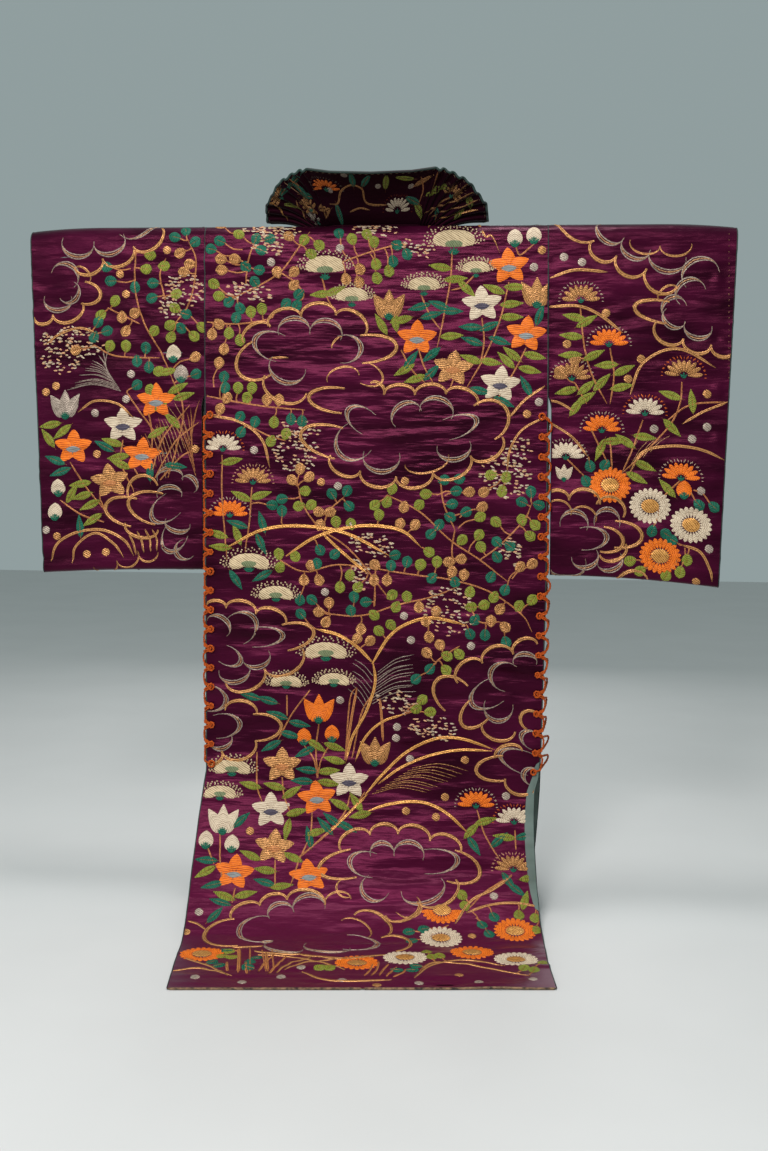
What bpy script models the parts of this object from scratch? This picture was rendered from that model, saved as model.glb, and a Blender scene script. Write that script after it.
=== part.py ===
"""A kimono-cut satin over-robe, spread on a plain T-shaped display stand with its back to the viewer.

Metres, +Z up. The back of the robe faces -Y, the crossbar lies along X, and the origin is on the
floor under the middle of the crossbar. Distances "down the cloth" start at the ridge over the bar.
"""
import math

import bmesh
import bpy
import numpy as np
from mathutils import Vector

# Cloth layers
SEAM_GAP = 0.0003
SATIN = 0.0016
LINING = 0.0012
LAYER_GAP = 0.0004
SLEEVE_WALL = 0.0024
COLLAR_WALL = 0.0018
BAND_WALL = 0.0016
BODY_STACK = SATIN + LAYER_GAP + LINING

# Display stand
BAR_RADIUS = 0.018
BAR_LENGTH = 1.02
POST_RADIUS = 0.015
FOOT_RADIUS = 0.045
FOOT_HEIGHT = 0.008
BASE_WIDTH = 0.60
BASE_DEPTH = 0.27
BASE_HEIGHT = 0.016
BASE_BEVEL = 0.002
SEAT_CUTTER = 0.2
ROUND_FACETS = 32

# How the robe hangs
RIDGE_Z = 1.258
RIDGE_RADIUS = BAR_RADIUS + SEAM_GAP + BODY_STACK
BAR_Z = RIDGE_Z - RIDGE_RADIUS
LEAVE_Z = 0.33
TOE_Y = 0.235
FLOOR_Z = BODY_STACK
TRAIN_ON_FLOOR = 0.189
TRAIN_TURN = math.radians(6.5)
TURN_LEAD = 0.02

# Distances down the cloth from the ridge
RIDGE_QUARTER = RIDGE_RADIUS * math.pi / 2
LEAVE_DOWN = RIDGE_QUARTER + BAR_Z - LEAVE_Z

# Sleeves
SLEEVE_REACH = 0.640
SLEEVE_HEIGHT = 0.630
CUFF_INSET = 0.014
CUFF_DROOP = 0.007
DROOP_START = 0.60
SLEEVE_FOOT_RADIUS = 0.009
SLEEVE_FOOT_FACETS = 4
SLEEVE_RIDGE_FACETS = 4
SLEEVE_ROWS = 8
SLEEVE_COLUMNS = 6
SEWN_DOWN_TO_Z = 0.965
FREE_FROM_Z = 0.930
SLEEVE_SIDES = (
    # side, sag of the outer lower corner, gap beside the body under the sewn part
    (-1, 0.010, 0.0080),
    (1, 0.018, 0.0070),
)

# Body widths: distance down the back, left edge, right edge
BACK_EDGES = (
    (0.000, -0.3135, 0.3080),
    (0.340, -0.3130, 0.3130),
    (0.650, -0.3120, 0.3157),
    (0.960, -0.3105, 0.3120),
    (1.015, -0.3090, 0.3080),
    (1.040, -0.3125, 0.3010),
    (1.100, -0.3185, 0.2992),
    (1.190, -0.3245, 0.2998),
    (1.260, -0.3273, 0.2990),
    (1.340, -0.3290, 0.2965),
    (1.440, -0.3295, 0.2895),
    (1.560, -0.3269, 0.2868),
)
# Front widths: distance down the front, left outer edge, right outer edge
FRONT_EDGES = (
    (0.000, -0.3135, 0.3080),
    (0.340, -0.3130, 0.3130),
    (0.650, -0.3120, 0.3157),
    (1.050, -0.3100, 0.3120),
    (1.200, -0.3060, 0.3060),
    (1.340, -0.2980, 0.2980),
    (1.600, -0.2950, 0.2950),
)
# Front opening: distance down the front, half width of the opening
NECK_EDGE = 0.006
NECK_STEP = 0.003
FRONT_OPENING = (
    (NECK_EDGE + NECK_STEP, 0.0850),
    (0.060, 0.0800),
    (0.300, 0.0450),
    (0.550, 0.0120),
    (1.600, 0.0120),
)

# Largest folds: face (-1 back, 1 front), distance down, middle, half length, half width, height
FOLDS = (
    (-1, 1.165, 0.100, 0.200, 0.017, 0.0040),
    (-1, 1.193, 0.090, 0.210, 0.013, -0.0055),
    (-1, 1.226, -0.030, 0.230, 0.016, 0.0040),
    (-1, 1.256, 0.040, 0.220, 0.014, -0.0040),
    (-1, 1.205, -0.240, 0.080, 0.015, -0.0030),
    (1, 1.130, 0.190, 0.090, 0.022, 0.0035),
    (1, 1.170, -0.180, 0.090, 0.020, -0.0040),
)

# Row spacing down the cloth: from, to, rows
BODY_ROWS = (
    (0.000, RIDGE_QUARTER, 6),
    (RIDGE_QUARTER, LEAVE_DOWN, 10),
    (LEAVE_DOWN, 1.110, 6),
    (1.110, 1.275, 11),
    (1.275, 1.370, 4),
    (1.370, None, 5),
)
BODY_COLUMNS = 5
SLOPE_STEP = 0.0005

# Collar
NECK_LIFT = 0.0021
COLLAR_MIDDLE = -0.004
PLEATS = 8
PLEAT_BASE = 0.0010
PLEAT_TOP = 0.0040
PANEL_COLUMNS = 8
COLLAR_ROWS = 5
COLLAR_BOW = 0.010
# Half of the collar from the nape outwards: place along it (1 is where the pleats start), neck x,
# neck distance down the front, top edge x, y and z
COLLAR_HALF = (
    (0.00, 0.0000, 0.0020, 0.0000, -0.0850, 1.3352),
    (0.60, 0.0480, 0.0020, 0.0720, -0.0870, 1.3370),
    (1.00, 0.0780, 0.0030, 0.1120, -0.0840, 1.3430),
    (1.30, 0.0850, 0.0070, 0.1360, -0.0700, 1.3400),
    (1.70, 0.0915, 0.0140, 0.1700, -0.0440, 1.3270),
    (2.20, 0.0950, 0.0220, 0.2010, 0.0060, 1.2960),
    (2.60, 0.0965, 0.0300, 0.2040, 0.0400, 1.2700),
)
COLLAR_END = 2.60

# Front bands
BAND_WIDTH = 0.045
BAND_START = 0.050

# Side lacing
CORD_RADIUS = 0.0018
LACE_TOP_Z = 0.915
LACE_PITCH = 0.036
LACE_STITCHES = 18
KNOT_INSET = 0.010
CORD_OFF_FACE = 0.0031
CORD_OFF_EDGE = 0.0031
LOOP_BESIDE_SLEEVE = 0.0034
LOOP_BELOW_SLEEVE = 0.0080
LAST_LOOPS = 2
LAST_LOOP = 0.0130
# Parts of one stitch's pitch: where the cord reaches the back's edge, goes round it, and is caught
# at the front's edge
AT_EDGE = 0.08
ROUND_EDGE = 0.18
CAUGHT = 0.50

COLOURS = {
    "satin": ((0.105, 0.018, 0.060, 1.0), 0.38),
    "lining": ((0.130, 0.190, 0.160, 1.0), 0.70),
    "cord": ((0.800, 0.130, 0.020, 1.0), 0.60),
    "stand": ((0.560, 0.570, 0.560, 1.0), 0.50),
}


def clear_scene():
    for item in list(bpy.data.objects):
        bpy.data.objects.remove(item, do_unlink=True)


def collection(name):
    group = bpy.data.collections.new(name)
    bpy.context.scene.collection.children.link(group)
    return group


def material(name):
    colour, roughness = COLOURS[name]
    finish = bpy.data.materials.get(name)
    if finish is None:
        finish = bpy.data.materials.new(name)
        finish.use_nodes = True
        shader = finish.node_tree.nodes["Principled BSDF"]
        shader.inputs["Base Color"].default_value = colour
        shader.inputs["Roughness"].default_value = roughness
        shader.inputs["Metallic"].default_value = 0.0
    return finish


def column(table, index):
    return [row[index] for row in table]


def look_up(table, where, index):
    return float(np.interp(where, column(table, 0), column(table, index)))


def smooth(value):
    value = min(max(value, 0.0), 1.0)
    return value * value * (3.0 - 2.0 * value)


def curve_table():
    """Distance, y and z down the curve where the cloth turns from hanging to lying on the floor."""
    turn = np.linspace(0.0, math.pi / 2, 400)
    y = RIDGE_RADIUS + (TOE_Y - RIDGE_RADIUS) * (1.0 - np.cos(turn))
    z = LEAVE_Z - (LEAVE_Z - FLOOR_Z) * np.sin(turn)
    steps = np.hypot(np.diff(y), np.diff(z))
    return np.concatenate(([0.0], np.cumsum(steps))), y, z


CURVE_DOWN, CURVE_Y, CURVE_Z = curve_table()
CURVE_LENGTH = float(CURVE_DOWN[-1])
TOE_DOWN = LEAVE_DOWN + CURVE_LENGTH
BACK_LENGTH = TOE_DOWN + TRAIN_ON_FLOOR


def profile(down):
    """Distance from the bar's plane and height of the outer face, at a distance down the cloth."""
    if down <= RIDGE_QUARTER:
        angle = down / RIDGE_RADIUS
        return RIDGE_RADIUS * math.sin(angle), BAR_Z + RIDGE_RADIUS * math.cos(angle)
    if down <= LEAVE_DOWN:
        return RIDGE_RADIUS, BAR_Z - (down - RIDGE_QUARTER)
    if down <= TOE_DOWN:
        along = down - LEAVE_DOWN
        return float(np.interp(along, CURVE_DOWN, CURVE_Y)), float(np.interp(along, CURVE_DOWN, CURVE_Z))
    return TOE_Y + down - TOE_DOWN, FLOOR_Z


def heading(down):
    """The train is swung round a little, so its hem isn't parallel to the crossbar."""
    start = LEAVE_DOWN - TURN_LEAD
    return TRAIN_TURN * smooth((down - start) / (TOE_DOWN - start))


def fold_height(face, down, across):
    total = 0.0
    for side, fold_down, middle, half_length, half_width, height in FOLDS:
        if side == face and abs(across - middle) < half_length:
            ends = math.cos(math.pi / 2 * (across - middle) / half_length) ** 2
            total += height * ends * math.exp(-((down - fold_down) / half_width) ** 2)
    return total


def smooth_cloth_point(signed_down, across):
    """A point of the outer face before its folds; a negative distance is down the back."""
    face = -1.0 if signed_down < 0.0 else 1.0
    out, z = profile(abs(signed_down))
    y = face * out
    turn = heading(-signed_down) if signed_down < 0.0 else 0.0
    return Vector((across * math.cos(turn) - y * math.sin(turn),
                   across * math.sin(turn) + y * math.cos(turn), z))


def cloth_normal(signed_down, across):
    before = smooth_cloth_point(signed_down - SLOPE_STEP, across)
    along = smooth_cloth_point(signed_down + SLOPE_STEP, across) - before
    nearer = smooth_cloth_point(signed_down, across - SLOPE_STEP)
    sideways = smooth_cloth_point(signed_down, across + SLOPE_STEP) - nearer
    return sideways.cross(along).normalized()


def cloth_point(signed_down, across, out=0.0):
    face = -1 if signed_down < 0.0 else 1
    lift = out + fold_height(face, abs(signed_down), across)
    return smooth_cloth_point(signed_down, across) + cloth_normal(signed_down, across) * lift


def hem_corner_reach():
    """How far the train's furthest corner lies before the crossbar."""
    left = look_up(BACK_EDGES, BACK_LENGTH, 1)
    return -smooth_cloth_point(-BACK_LENGTH, left).y


FRONT_LENGTH = TOE_DOWN + hem_corner_reach() - TOE_Y


def outer_edge(signed_down, side):
    table = BACK_EDGES if signed_down < 0.0 else FRONT_EDGES
    return look_up(table, abs(signed_down), 1 if side < 0 else 2)


def inner_edge(signed_down, side):
    """The centre-back seam on the back, and the edge of the neck and the front opening on the front."""
    if signed_down <= NECK_EDGE:
        table = BACK_EDGES if signed_down < 0.0 else FRONT_EDGES
        middle = (look_up(table, abs(signed_down), 1) + look_up(table, abs(signed_down), 2)) / 2
        return middle + side * SEAM_GAP / 2
    return side * look_up(FRONT_OPENING, signed_down, 1)


def down_rows(length):
    stops = [0.0]
    for start, end, rows in BODY_ROWS:
        end = length if end is None else end
        for index in range(rows):
            stops.append(start + (end - start) * (index + 1) / rows)
    return stops


def body_rows():
    """Signed distances from the back hem over the ridge to the front hem."""
    back = [-stop for stop in reversed(down_rows(BACK_LENGTH))]
    front = [stop for stop in down_rows(FRONT_LENGTH) if stop > NECK_EDGE + NECK_STEP]
    return back + [NECK_EDGE, NECK_EDGE + NECK_STEP] + front


def shell(name, group, finish, points, thickness, closed=False, centred=False):
    """A cloth wall: a grid of points, given in rows, thickened away from its outer face."""
    rows = len(points)
    columns = len(points[0])
    grid = bmesh.new()
    bmesh.ops.create_grid(grid, x_segments=columns - 1, y_segments=rows - 1, size=0.5)
    for vertex in grid.verts:
        i = round((vertex.co.x + 0.5) * (columns - 1))
        j = round((vertex.co.y + 0.5) * (rows - 1))
        vertex.co = points[j][i]
    if closed:
        bmesh.ops.remove_doubles(grid, verts=grid.verts, dist=0.00001)
    mesh = bpy.data.meshes.new(name)
    grid.to_mesh(mesh)
    grid.free()
    piece = bpy.data.objects.new(name, mesh)
    group.objects.link(piece)
    piece.data.materials.append(material(finish))
    wall = piece.modifiers.new("wall", "SOLIDIFY")
    wall.thickness = thickness
    wall.offset = 0.0 if centred else -1.0
    return piece


def body_layer(name, group, finish, side, out, thickness):
    """One strip of cloth from the back hem over the shoulder to the front hem."""
    points = []
    for down in body_rows():
        start = inner_edge(down, side)
        end = outer_edge(down, side)
        if side < 0:
            start, end = end, start
        points.append([cloth_point(down, start + (end - start) * step / BODY_COLUMNS, out)
                       for step in range(BODY_COLUMNS + 1)])
    return shell(name, group, finish, points, thickness)


def body(group):
    for side, word in ((-1, "left"), (1, "right")):
        body_layer("body_" + word, group, "satin", side, 0.0, SATIN)
        body_layer("lining_" + word, group, "lining", side, -SATIN - LAYER_GAP, LINING)


def body_edge_at_height(z, side):
    """The body's outer edge at a height, for the part that hangs straight."""
    down = RIDGE_QUARTER + BAR_Z - min(z, BAR_Z)
    return look_up(BACK_EDGES, down, 1 if side < 0 else 2)


def sleeve_ring(sag, across):
    """The sleeve's section at a place from the armhole, 0, to the cuff, 1: depth and height pairs."""
    past_bar = max(across - DROOP_START, 0.0) / (1.0 - DROOP_START)
    top = RIDGE_Z - CUFF_DROOP * past_bar ** 2
    bottom = RIDGE_Z - SLEEVE_HEIGHT - sag * across ** 2
    upper = top - RIDGE_RADIUS
    lower = bottom + SLEEVE_FOOT_RADIUS
    ring = []
    for step in range(SLEEVE_FOOT_FACETS + 1):
        angle = math.pi / 2 * step / SLEEVE_FOOT_FACETS
        ring.append((-SLEEVE_FOOT_RADIUS * math.sin(angle), lower - SLEEVE_FOOT_RADIUS * math.cos(angle)))
    for step in range(1, SLEEVE_ROWS):
        height = step / SLEEVE_ROWS
        widening = (smooth(height) + height) / 2
        depth = SLEEVE_FOOT_RADIUS + (RIDGE_RADIUS - SLEEVE_FOOT_RADIUS) * widening
        ring.append((-depth, lower + (upper - lower) * height))
    for step in range(SLEEVE_RIDGE_FACETS + 1):
        angle = math.pi / 2 * step / SLEEVE_RIDGE_FACETS
        ring.append((-RIDGE_RADIUS * math.cos(angle), upper + RIDGE_RADIUS * math.sin(angle)))
    mirrored = [(-depth, height) for depth, height in reversed(ring[:-1])]
    return ring + mirrored


def sleeve(group, side, sag, gap):
    rings = [sleeve_ring(sag, step / SLEEVE_COLUMNS) for step in range(SLEEVE_COLUMNS + 1)]
    points = []
    for place in range(len(rings[0])):
        row = []
        for step, ring in enumerate(rings):
            depth, z = ring[place]
            free = smooth((SEWN_DOWN_TO_Z - z) / (SEWN_DOWN_TO_Z - FREE_FROM_Z))
            inner = side * SEAM_GAP + side * gap * free + body_edge_at_height(z, side)
            outer = side * (SLEEVE_REACH - CUFF_INSET * (RIDGE_Z - z) / SLEEVE_HEIGHT)
            row.append(Vector((inner + (outer - inner) * step / SLEEVE_COLUMNS, depth, z)))
        points.append(row if side > 0 else row[::-1])
    word = "left" if side < 0 else "right"
    return shell("sleeve_" + word, group, "satin", points, SLEEVE_WALL, closed=True)


def collar_places():
    """Places along the collar's half, from the nape outwards, with the pleats' folds."""
    places = [step / PANEL_COLUMNS * 2 for step in range(PANEL_COLUMNS // 2 + 1)]
    folds = 2 * PLEATS
    places += [1.0 + (COLLAR_END - 1.0) * (step + 1) / folds for step in range(folds)]
    return places


def collar_pleat(index):
    """Accordion folds: outwards and inwards by turns, none on the smooth middle panel."""
    fold = index - PANEL_COLUMNS // 2
    if fold <= 0:
        return 0.0
    return 1.0 if fold % 2 else -1.0


def collar_point(side, place, upward):
    neck_x = look_up(COLLAR_HALF, place, 1)
    neck_down = look_up(COLLAR_HALF, place, 2)
    base = smooth_cloth_point(neck_down, COLLAR_MIDDLE + side * neck_x)
    base += cloth_normal(neck_down, 0.0) * NECK_LIFT
    top = Vector((COLLAR_MIDDLE + side * look_up(COLLAR_HALF, place, 3),
                  look_up(COLLAR_HALF, place, 4), look_up(COLLAR_HALF, place, 5)))
    point = base.lerp(top, upward)
    point.z += COLLAR_BOW * math.sin(math.pi * upward)
    return point


def collar(group):
    """The standing collar: a smooth panel at the nape and a fan of pleats at each side of it."""
    half = list(enumerate(collar_places()))
    whole = [(-1, index, place) for index, place in reversed(half[1:])]
    whole += [(1, index, place) for index, place in half]
    bases = []
    for row in range(COLLAR_ROWS + 1):
        upward = row / COLLAR_ROWS
        bases.append([collar_point(side, place, upward) for side, index, place in whole])
    points = []
    last = len(whole) - 1
    for row, line in enumerate(bases):
        upward = row / COLLAR_ROWS
        height = PLEAT_BASE + (PLEAT_TOP - PLEAT_BASE) * upward
        moved = []
        for step, point in enumerate(line):
            sideways = line[min(step + 1, last)] - line[max(step - 1, 0)]
            rise = bases[min(row + 1, COLLAR_ROWS)][step] - bases[max(row - 1, 0)][step]
            normal = sideways.cross(rise).normalized()
            moved.append(point + normal * collar_pleat(whole[step][1]) * height)
        points.append(moved)
    return shell("collar", group, "satin", points, COLLAR_WALL, centred=True)


def front_bands(group):
    """The band sewn along each front edge, from the side of the neck to the hem."""
    rows = [BAND_START] + [down for down in body_rows() if down > BAND_START]
    for side, word in ((-1, "left"), (1, "right")):
        points = []
        for down in rows:
            near = inner_edge(down, side)
            far = near + side * BAND_WIDTH
            edges = (near, (near + far) / 2, far)
            if side < 0:
                edges = edges[::-1]
            points.append([cloth_point(down, across, SEAM_GAP + BAND_WALL) for across in edges])
        shell("front_band_" + word, group, "satin", points, BAND_WALL)


def down_at_height(z):
    """Distance down the cloth where it is at a height, between the ridge and the floor."""
    if z >= LEAVE_Z:
        return RIDGE_QUARTER + BAR_Z - z
    return LEAVE_DOWN + float(np.interp(LEAVE_Z - z, LEAVE_Z - CURVE_Z, CURVE_DOWN))


def lace_point(face, side, z, beside, off_face):
    """A point of the cord: beside the body's edge, positive outwards, and off the panel's face."""
    down = face * down_at_height(z)
    across = outer_edge(down, side) + side * beside
    return cloth_point(down, across, off_face)


def lacing(group, side):
    """One cord, whipped round the back's side edge and caught at the front's edge at each stitch."""
    route = []
    for stitch in range(LACE_STITCHES):
        z = LACE_TOP_Z - stitch * LACE_PITCH
        beside_sleeve = z > RIDGE_Z - SLEEVE_HEIGHT - LACE_PITCH / 2
        loop = LOOP_BESIDE_SLEEVE if beside_sleeve else LOOP_BELOW_SLEEVE
        if stitch >= LACE_STITCHES - LAST_LOOPS:
            loop = LAST_LOOP
        route += [
            lace_point(-1, side, z, -KNOT_INSET, CORD_OFF_FACE),
            lace_point(-1, side, z - AT_EDGE * LACE_PITCH, 0.0, CORD_OFF_FACE),
            lace_point(-1, side, z - ROUND_EDGE * LACE_PITCH, CORD_OFF_EDGE, 0.0),
            lace_point(1, side, z - CAUGHT * LACE_PITCH, loop, 0.0),
            lace_point(-1, side, z - (1.0 - ROUND_EDGE) * LACE_PITCH, CORD_OFF_EDGE, 0.0),
            lace_point(-1, side, z - (1.0 - AT_EDGE) * LACE_PITCH, 0.0, CORD_OFF_FACE),
        ]
    end_z = LACE_TOP_Z - LACE_STITCHES * LACE_PITCH
    route.append(lace_point(-1, side, end_z, -KNOT_INSET, CORD_OFF_FACE))
    name = "lacing_left" if side < 0 else "lacing_right"
    line = bpy.data.curves.new(name, "CURVE")
    line.dimensions = "3D"
    line.bevel_depth = CORD_RADIUS
    line.bevel_resolution = 2
    line.use_fill_caps = True
    spline = line.splines.new("POLY")
    spline.points.add(len(route) - 1)
    for place, point in zip(spline.points, route):
        place.co = (point.x, point.y, point.z, 1.0)
    cord = bpy.data.objects.new(name, line)
    group.objects.link(cord)
    line.materials.append(material("cord"))


def rod_along_x(name, group, radius, length):
    """A rod along the crossbar's line."""
    bpy.ops.mesh.primitive_cylinder_add(vertices=ROUND_FACETS, radius=radius, depth=length,
                                        location=(0.0, 0.0, BAR_Z), rotation=(0.0, math.pi / 2, 0.0))
    rod = bpy.context.active_object
    rod.name = name
    for owner in list(rod.users_collection):
        owner.objects.unlink(rod)
    group.objects.link(rod)
    return rod


def crossbar(group):
    bar = rod_along_x("stand_crossbar", group, BAR_RADIUS, BAR_LENGTH)
    bar.data.materials.append(material("stand"))


def post(group, cutters):
    """A turned post with a round foot; its top is hollowed to cradle the crossbar."""
    foot = BASE_HEIGHT + SEAM_GAP
    outline = ((0.0, BAR_Z), (POST_RADIUS, BAR_Z), (POST_RADIUS, foot + FOOT_HEIGHT),
               (FOOT_RADIUS, foot + FOOT_HEIGHT), (FOOT_RADIUS, foot), (0.0, foot))
    mesh = bpy.data.meshes.new("stand_post")
    edges = [(step, step + 1) for step in range(len(outline) - 1)]
    mesh.from_pydata([(x, 0.0, z) for x, z in outline], edges, [])
    turned = bpy.data.objects.new("stand_post", mesh)
    group.objects.link(turned)
    mesh.materials.append(material("stand"))
    screw = turned.modifiers.new("turned", "SCREW")
    screw.steps = ROUND_FACETS
    screw.render_steps = ROUND_FACETS
    screw.use_merge_vertices = True
    screw.merge_threshold = 0.0001
    cutter = rod_along_x("bar_seat", cutters, BAR_RADIUS + SEAM_GAP, SEAT_CUTTER)
    cutter.hide_render = True
    cutter.display_type = "WIRE"
    seat = turned.modifiers.new("seat", "BOOLEAN")
    seat.operation = "DIFFERENCE"
    seat.object = cutter


def base(group):
    """The base board, square with the train's hem rather than with the crossbar."""
    bpy.ops.mesh.primitive_cube_add(size=1.0, location=(0.0, 0.0, BASE_HEIGHT / 2))
    board = bpy.context.active_object
    board.name = "stand_base"
    for owner in list(board.users_collection):
        owner.objects.unlink(board)
    group.objects.link(board)
    for vertex in board.data.vertices:
        vertex.co = Vector((vertex.co.x * BASE_WIDTH, vertex.co.y * BASE_DEPTH, vertex.co.z * BASE_HEIGHT))
    board.rotation_euler = (0.0, 0.0, TRAIN_TURN)
    board.data.materials.append(material("stand"))
    rounded = board.modifiers.new("rounded", "BEVEL")
    rounded.width = BASE_BEVEL
    rounded.segments = 2


def build():
    clear_scene()
    robe = collection("kimono")
    cutters = collection("cutters")
    body(robe)
    for side, sag, gap in SLEEVE_SIDES:
        sleeve(robe, side, sag, gap)
    collar(robe)
    front_bands(robe)
    for side in (-1, 1):
        lacing(robe, side)
    crossbar(robe)
    post(robe, cutters)
    base(robe)


build()
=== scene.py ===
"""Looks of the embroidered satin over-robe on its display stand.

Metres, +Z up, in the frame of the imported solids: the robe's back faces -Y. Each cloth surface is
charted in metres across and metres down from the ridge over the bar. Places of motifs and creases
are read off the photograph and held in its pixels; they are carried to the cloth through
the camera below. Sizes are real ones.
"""
import math

import bpy
import numpy as np
from mathutils import Matrix, Vector


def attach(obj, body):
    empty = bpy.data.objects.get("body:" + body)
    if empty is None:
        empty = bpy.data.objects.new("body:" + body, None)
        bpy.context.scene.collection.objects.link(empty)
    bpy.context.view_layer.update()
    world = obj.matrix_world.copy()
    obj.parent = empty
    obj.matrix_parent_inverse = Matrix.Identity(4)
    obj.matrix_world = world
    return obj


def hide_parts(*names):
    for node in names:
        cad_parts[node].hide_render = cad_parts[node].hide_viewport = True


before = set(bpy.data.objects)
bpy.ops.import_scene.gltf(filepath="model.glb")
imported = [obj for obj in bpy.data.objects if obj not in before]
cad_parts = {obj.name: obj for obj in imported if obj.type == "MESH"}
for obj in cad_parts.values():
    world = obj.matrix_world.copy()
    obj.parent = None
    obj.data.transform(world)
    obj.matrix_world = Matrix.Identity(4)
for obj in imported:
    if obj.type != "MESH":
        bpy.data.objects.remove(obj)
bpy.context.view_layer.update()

# The photograph and its camera
PHOTO_WIDTH = 768
PHOTO_HEIGHT = 1151
CAMERA_PLACE = np.array((0.239, -2.482, 0.814))
CAMERA_YAW = math.radians(5.08)
CAMERA_PITCH = math.radians(4.40)
CAMERA_ROLL = math.radians(0.54)
FOCAL_PIXELS = 1350.0
SENSOR_MM = 36.0

# How the robe hangs, as in the solids
SEAM_GAP = 0.0003
LINING_IN = 0.0020
BODY_STACK = 0.0032
RIDGE_RADIUS = 0.0215
RIDGE_Z = 1.258
BAR_Z = RIDGE_Z - RIDGE_RADIUS
LEAVE_Z = 0.33
TOE_Y = 0.235
FLOOR_Z = BODY_STACK
TRAIN_ON_FLOOR = 0.189
TRAIN_TURN = math.radians(6.5)
TURN_LEAD = 0.02
RIDGE_QUARTER = RIDGE_RADIUS * math.pi / 2
LEAVE_DOWN = RIDGE_QUARTER + BAR_Z - LEAVE_Z
SLEEVE_REACH = 0.640
SLEEVE_HEIGHT = 0.630
CUFF_INSET = 0.014
CUFF_DROOP = 0.007
DROOP_START = 0.60
FOOT_RADIUS = 0.009
SLEEVE_SIDE = SLEEVE_HEIGHT - RIDGE_RADIUS - FOOT_RADIUS
SLEEVE_DOWN = RIDGE_QUARTER + SLEEVE_SIDE + FOOT_RADIUS * math.pi / 2
SEWN_DOWN_TO_Z = 0.965
FREE_FROM_Z = 0.930
SLEEVES = {
    # sheet: side, sag of the outer lower corner, gap beside the body
    "sleeve_left": (-1, 0.010, 0.0080),
    "sleeve_right": (1, 0.018, 0.0070),
}
# Distance down the back, left edge, right edge
BACK_EDGES = (
    (0.000, -0.3135, 0.3080),
    (0.340, -0.3130, 0.3130),
    (0.650, -0.3120, 0.3157),
    (0.960, -0.3105, 0.3120),
    (1.015, -0.3090, 0.3080),
    (1.040, -0.3125, 0.3010),
    (1.100, -0.3185, 0.2992),
    (1.190, -0.3245, 0.2998),
    (1.260, -0.3273, 0.2990),
    (1.340, -0.3290, 0.2965),
    (1.440, -0.3295, 0.2895),
    (1.560, -0.3269, 0.2868),
)
# Distance down the front, left outer edge, right outer edge
FRONT_EDGES = (
    (0.000, -0.3135, 0.3080),
    (0.340, -0.3130, 0.3130),
    (0.650, -0.3120, 0.3157),
    (1.050, -0.3100, 0.3120),
    (1.200, -0.3060, 0.3060),
    (1.340, -0.2980, 0.2980),
    (1.600, -0.2950, 0.2950),
)
# Distance down the front, half width of the opening
NECK_EDGE = 0.009
FRONT_OPENING = (
    (NECK_EDGE, 0.0850),
    (0.060, 0.0800),
    (0.300, 0.0450),
    (0.550, 0.0120),
    (1.600, 0.0120),
)
# Largest folds, as in the solids: face, distance down, middle, half length, half width, height
FOLDS = (
    (-1, 1.165, 0.100, 0.200, 0.017, 0.0040),
    (-1, 1.193, 0.090, 0.210, 0.013, -0.0055),
    (-1, 1.226, -0.030, 0.230, 0.016, 0.0040),
    (-1, 1.256, 0.040, 0.220, 0.014, -0.0040),
    (-1, 1.205, -0.240, 0.080, 0.015, -0.0030),
    (1, 1.130, 0.190, 0.090, 0.022, 0.0035),
    (1, 1.170, -0.180, 0.090, 0.020, -0.0040),
)
BAND_WIDTH = 0.045
BAND_OUT = 0.0019
BAND_START = 0.050


# The camera, and the way from the photograph to the cloth

def camera_axes():
    right = np.array((math.cos(CAMERA_YAW), math.sin(CAMERA_YAW), 0.0))
    forward = np.array((-math.sin(CAMERA_YAW) * math.cos(CAMERA_PITCH),
                        math.cos(CAMERA_YAW) * math.cos(CAMERA_PITCH), -math.sin(CAMERA_PITCH)))
    up = np.cross(right, forward)
    turned_right = math.cos(CAMERA_ROLL) * right + math.sin(CAMERA_ROLL) * up
    turned_up = math.cos(CAMERA_ROLL) * up - math.sin(CAMERA_ROLL) * right
    return turned_right, turned_up, forward


def to_photo(points):
    right, up, forward = camera_axes()
    away = points - CAMERA_PLACE
    depth = away @ forward
    x = PHOTO_WIDTH / 2 + FOCAL_PIXELS * (away @ right) / depth
    y = PHOTO_HEIGHT / 2 - FOCAL_PIXELS * (away @ up) / depth
    return np.stack((x, y), axis=-1)


# Cloth surfaces

def smooth(value):
    value = np.clip(value, 0.0, 1.0)
    return value * value * (3.0 - 2.0 * value)


def look_up(table, where, index):
    rows = np.array(table)
    return np.interp(where, rows[:, 0], rows[:, index])


def curve_table():
    """Distance, y and z down the curve where the cloth turns from hanging to lying on the floor."""
    turn = np.linspace(0.0, math.pi / 2, 400)
    y = RIDGE_RADIUS + (TOE_Y - RIDGE_RADIUS) * (1.0 - np.cos(turn))
    z = LEAVE_Z - (LEAVE_Z - FLOOR_Z) * np.sin(turn)
    steps = np.hypot(np.diff(y), np.diff(z))
    return np.concatenate(([0.0], np.cumsum(steps))), y, z


CURVE_DOWN, CURVE_Y, CURVE_Z = curve_table()
TOE_DOWN = LEAVE_DOWN + float(CURVE_DOWN[-1])
BACK_LENGTH = TOE_DOWN + TRAIN_ON_FLOOR


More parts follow.
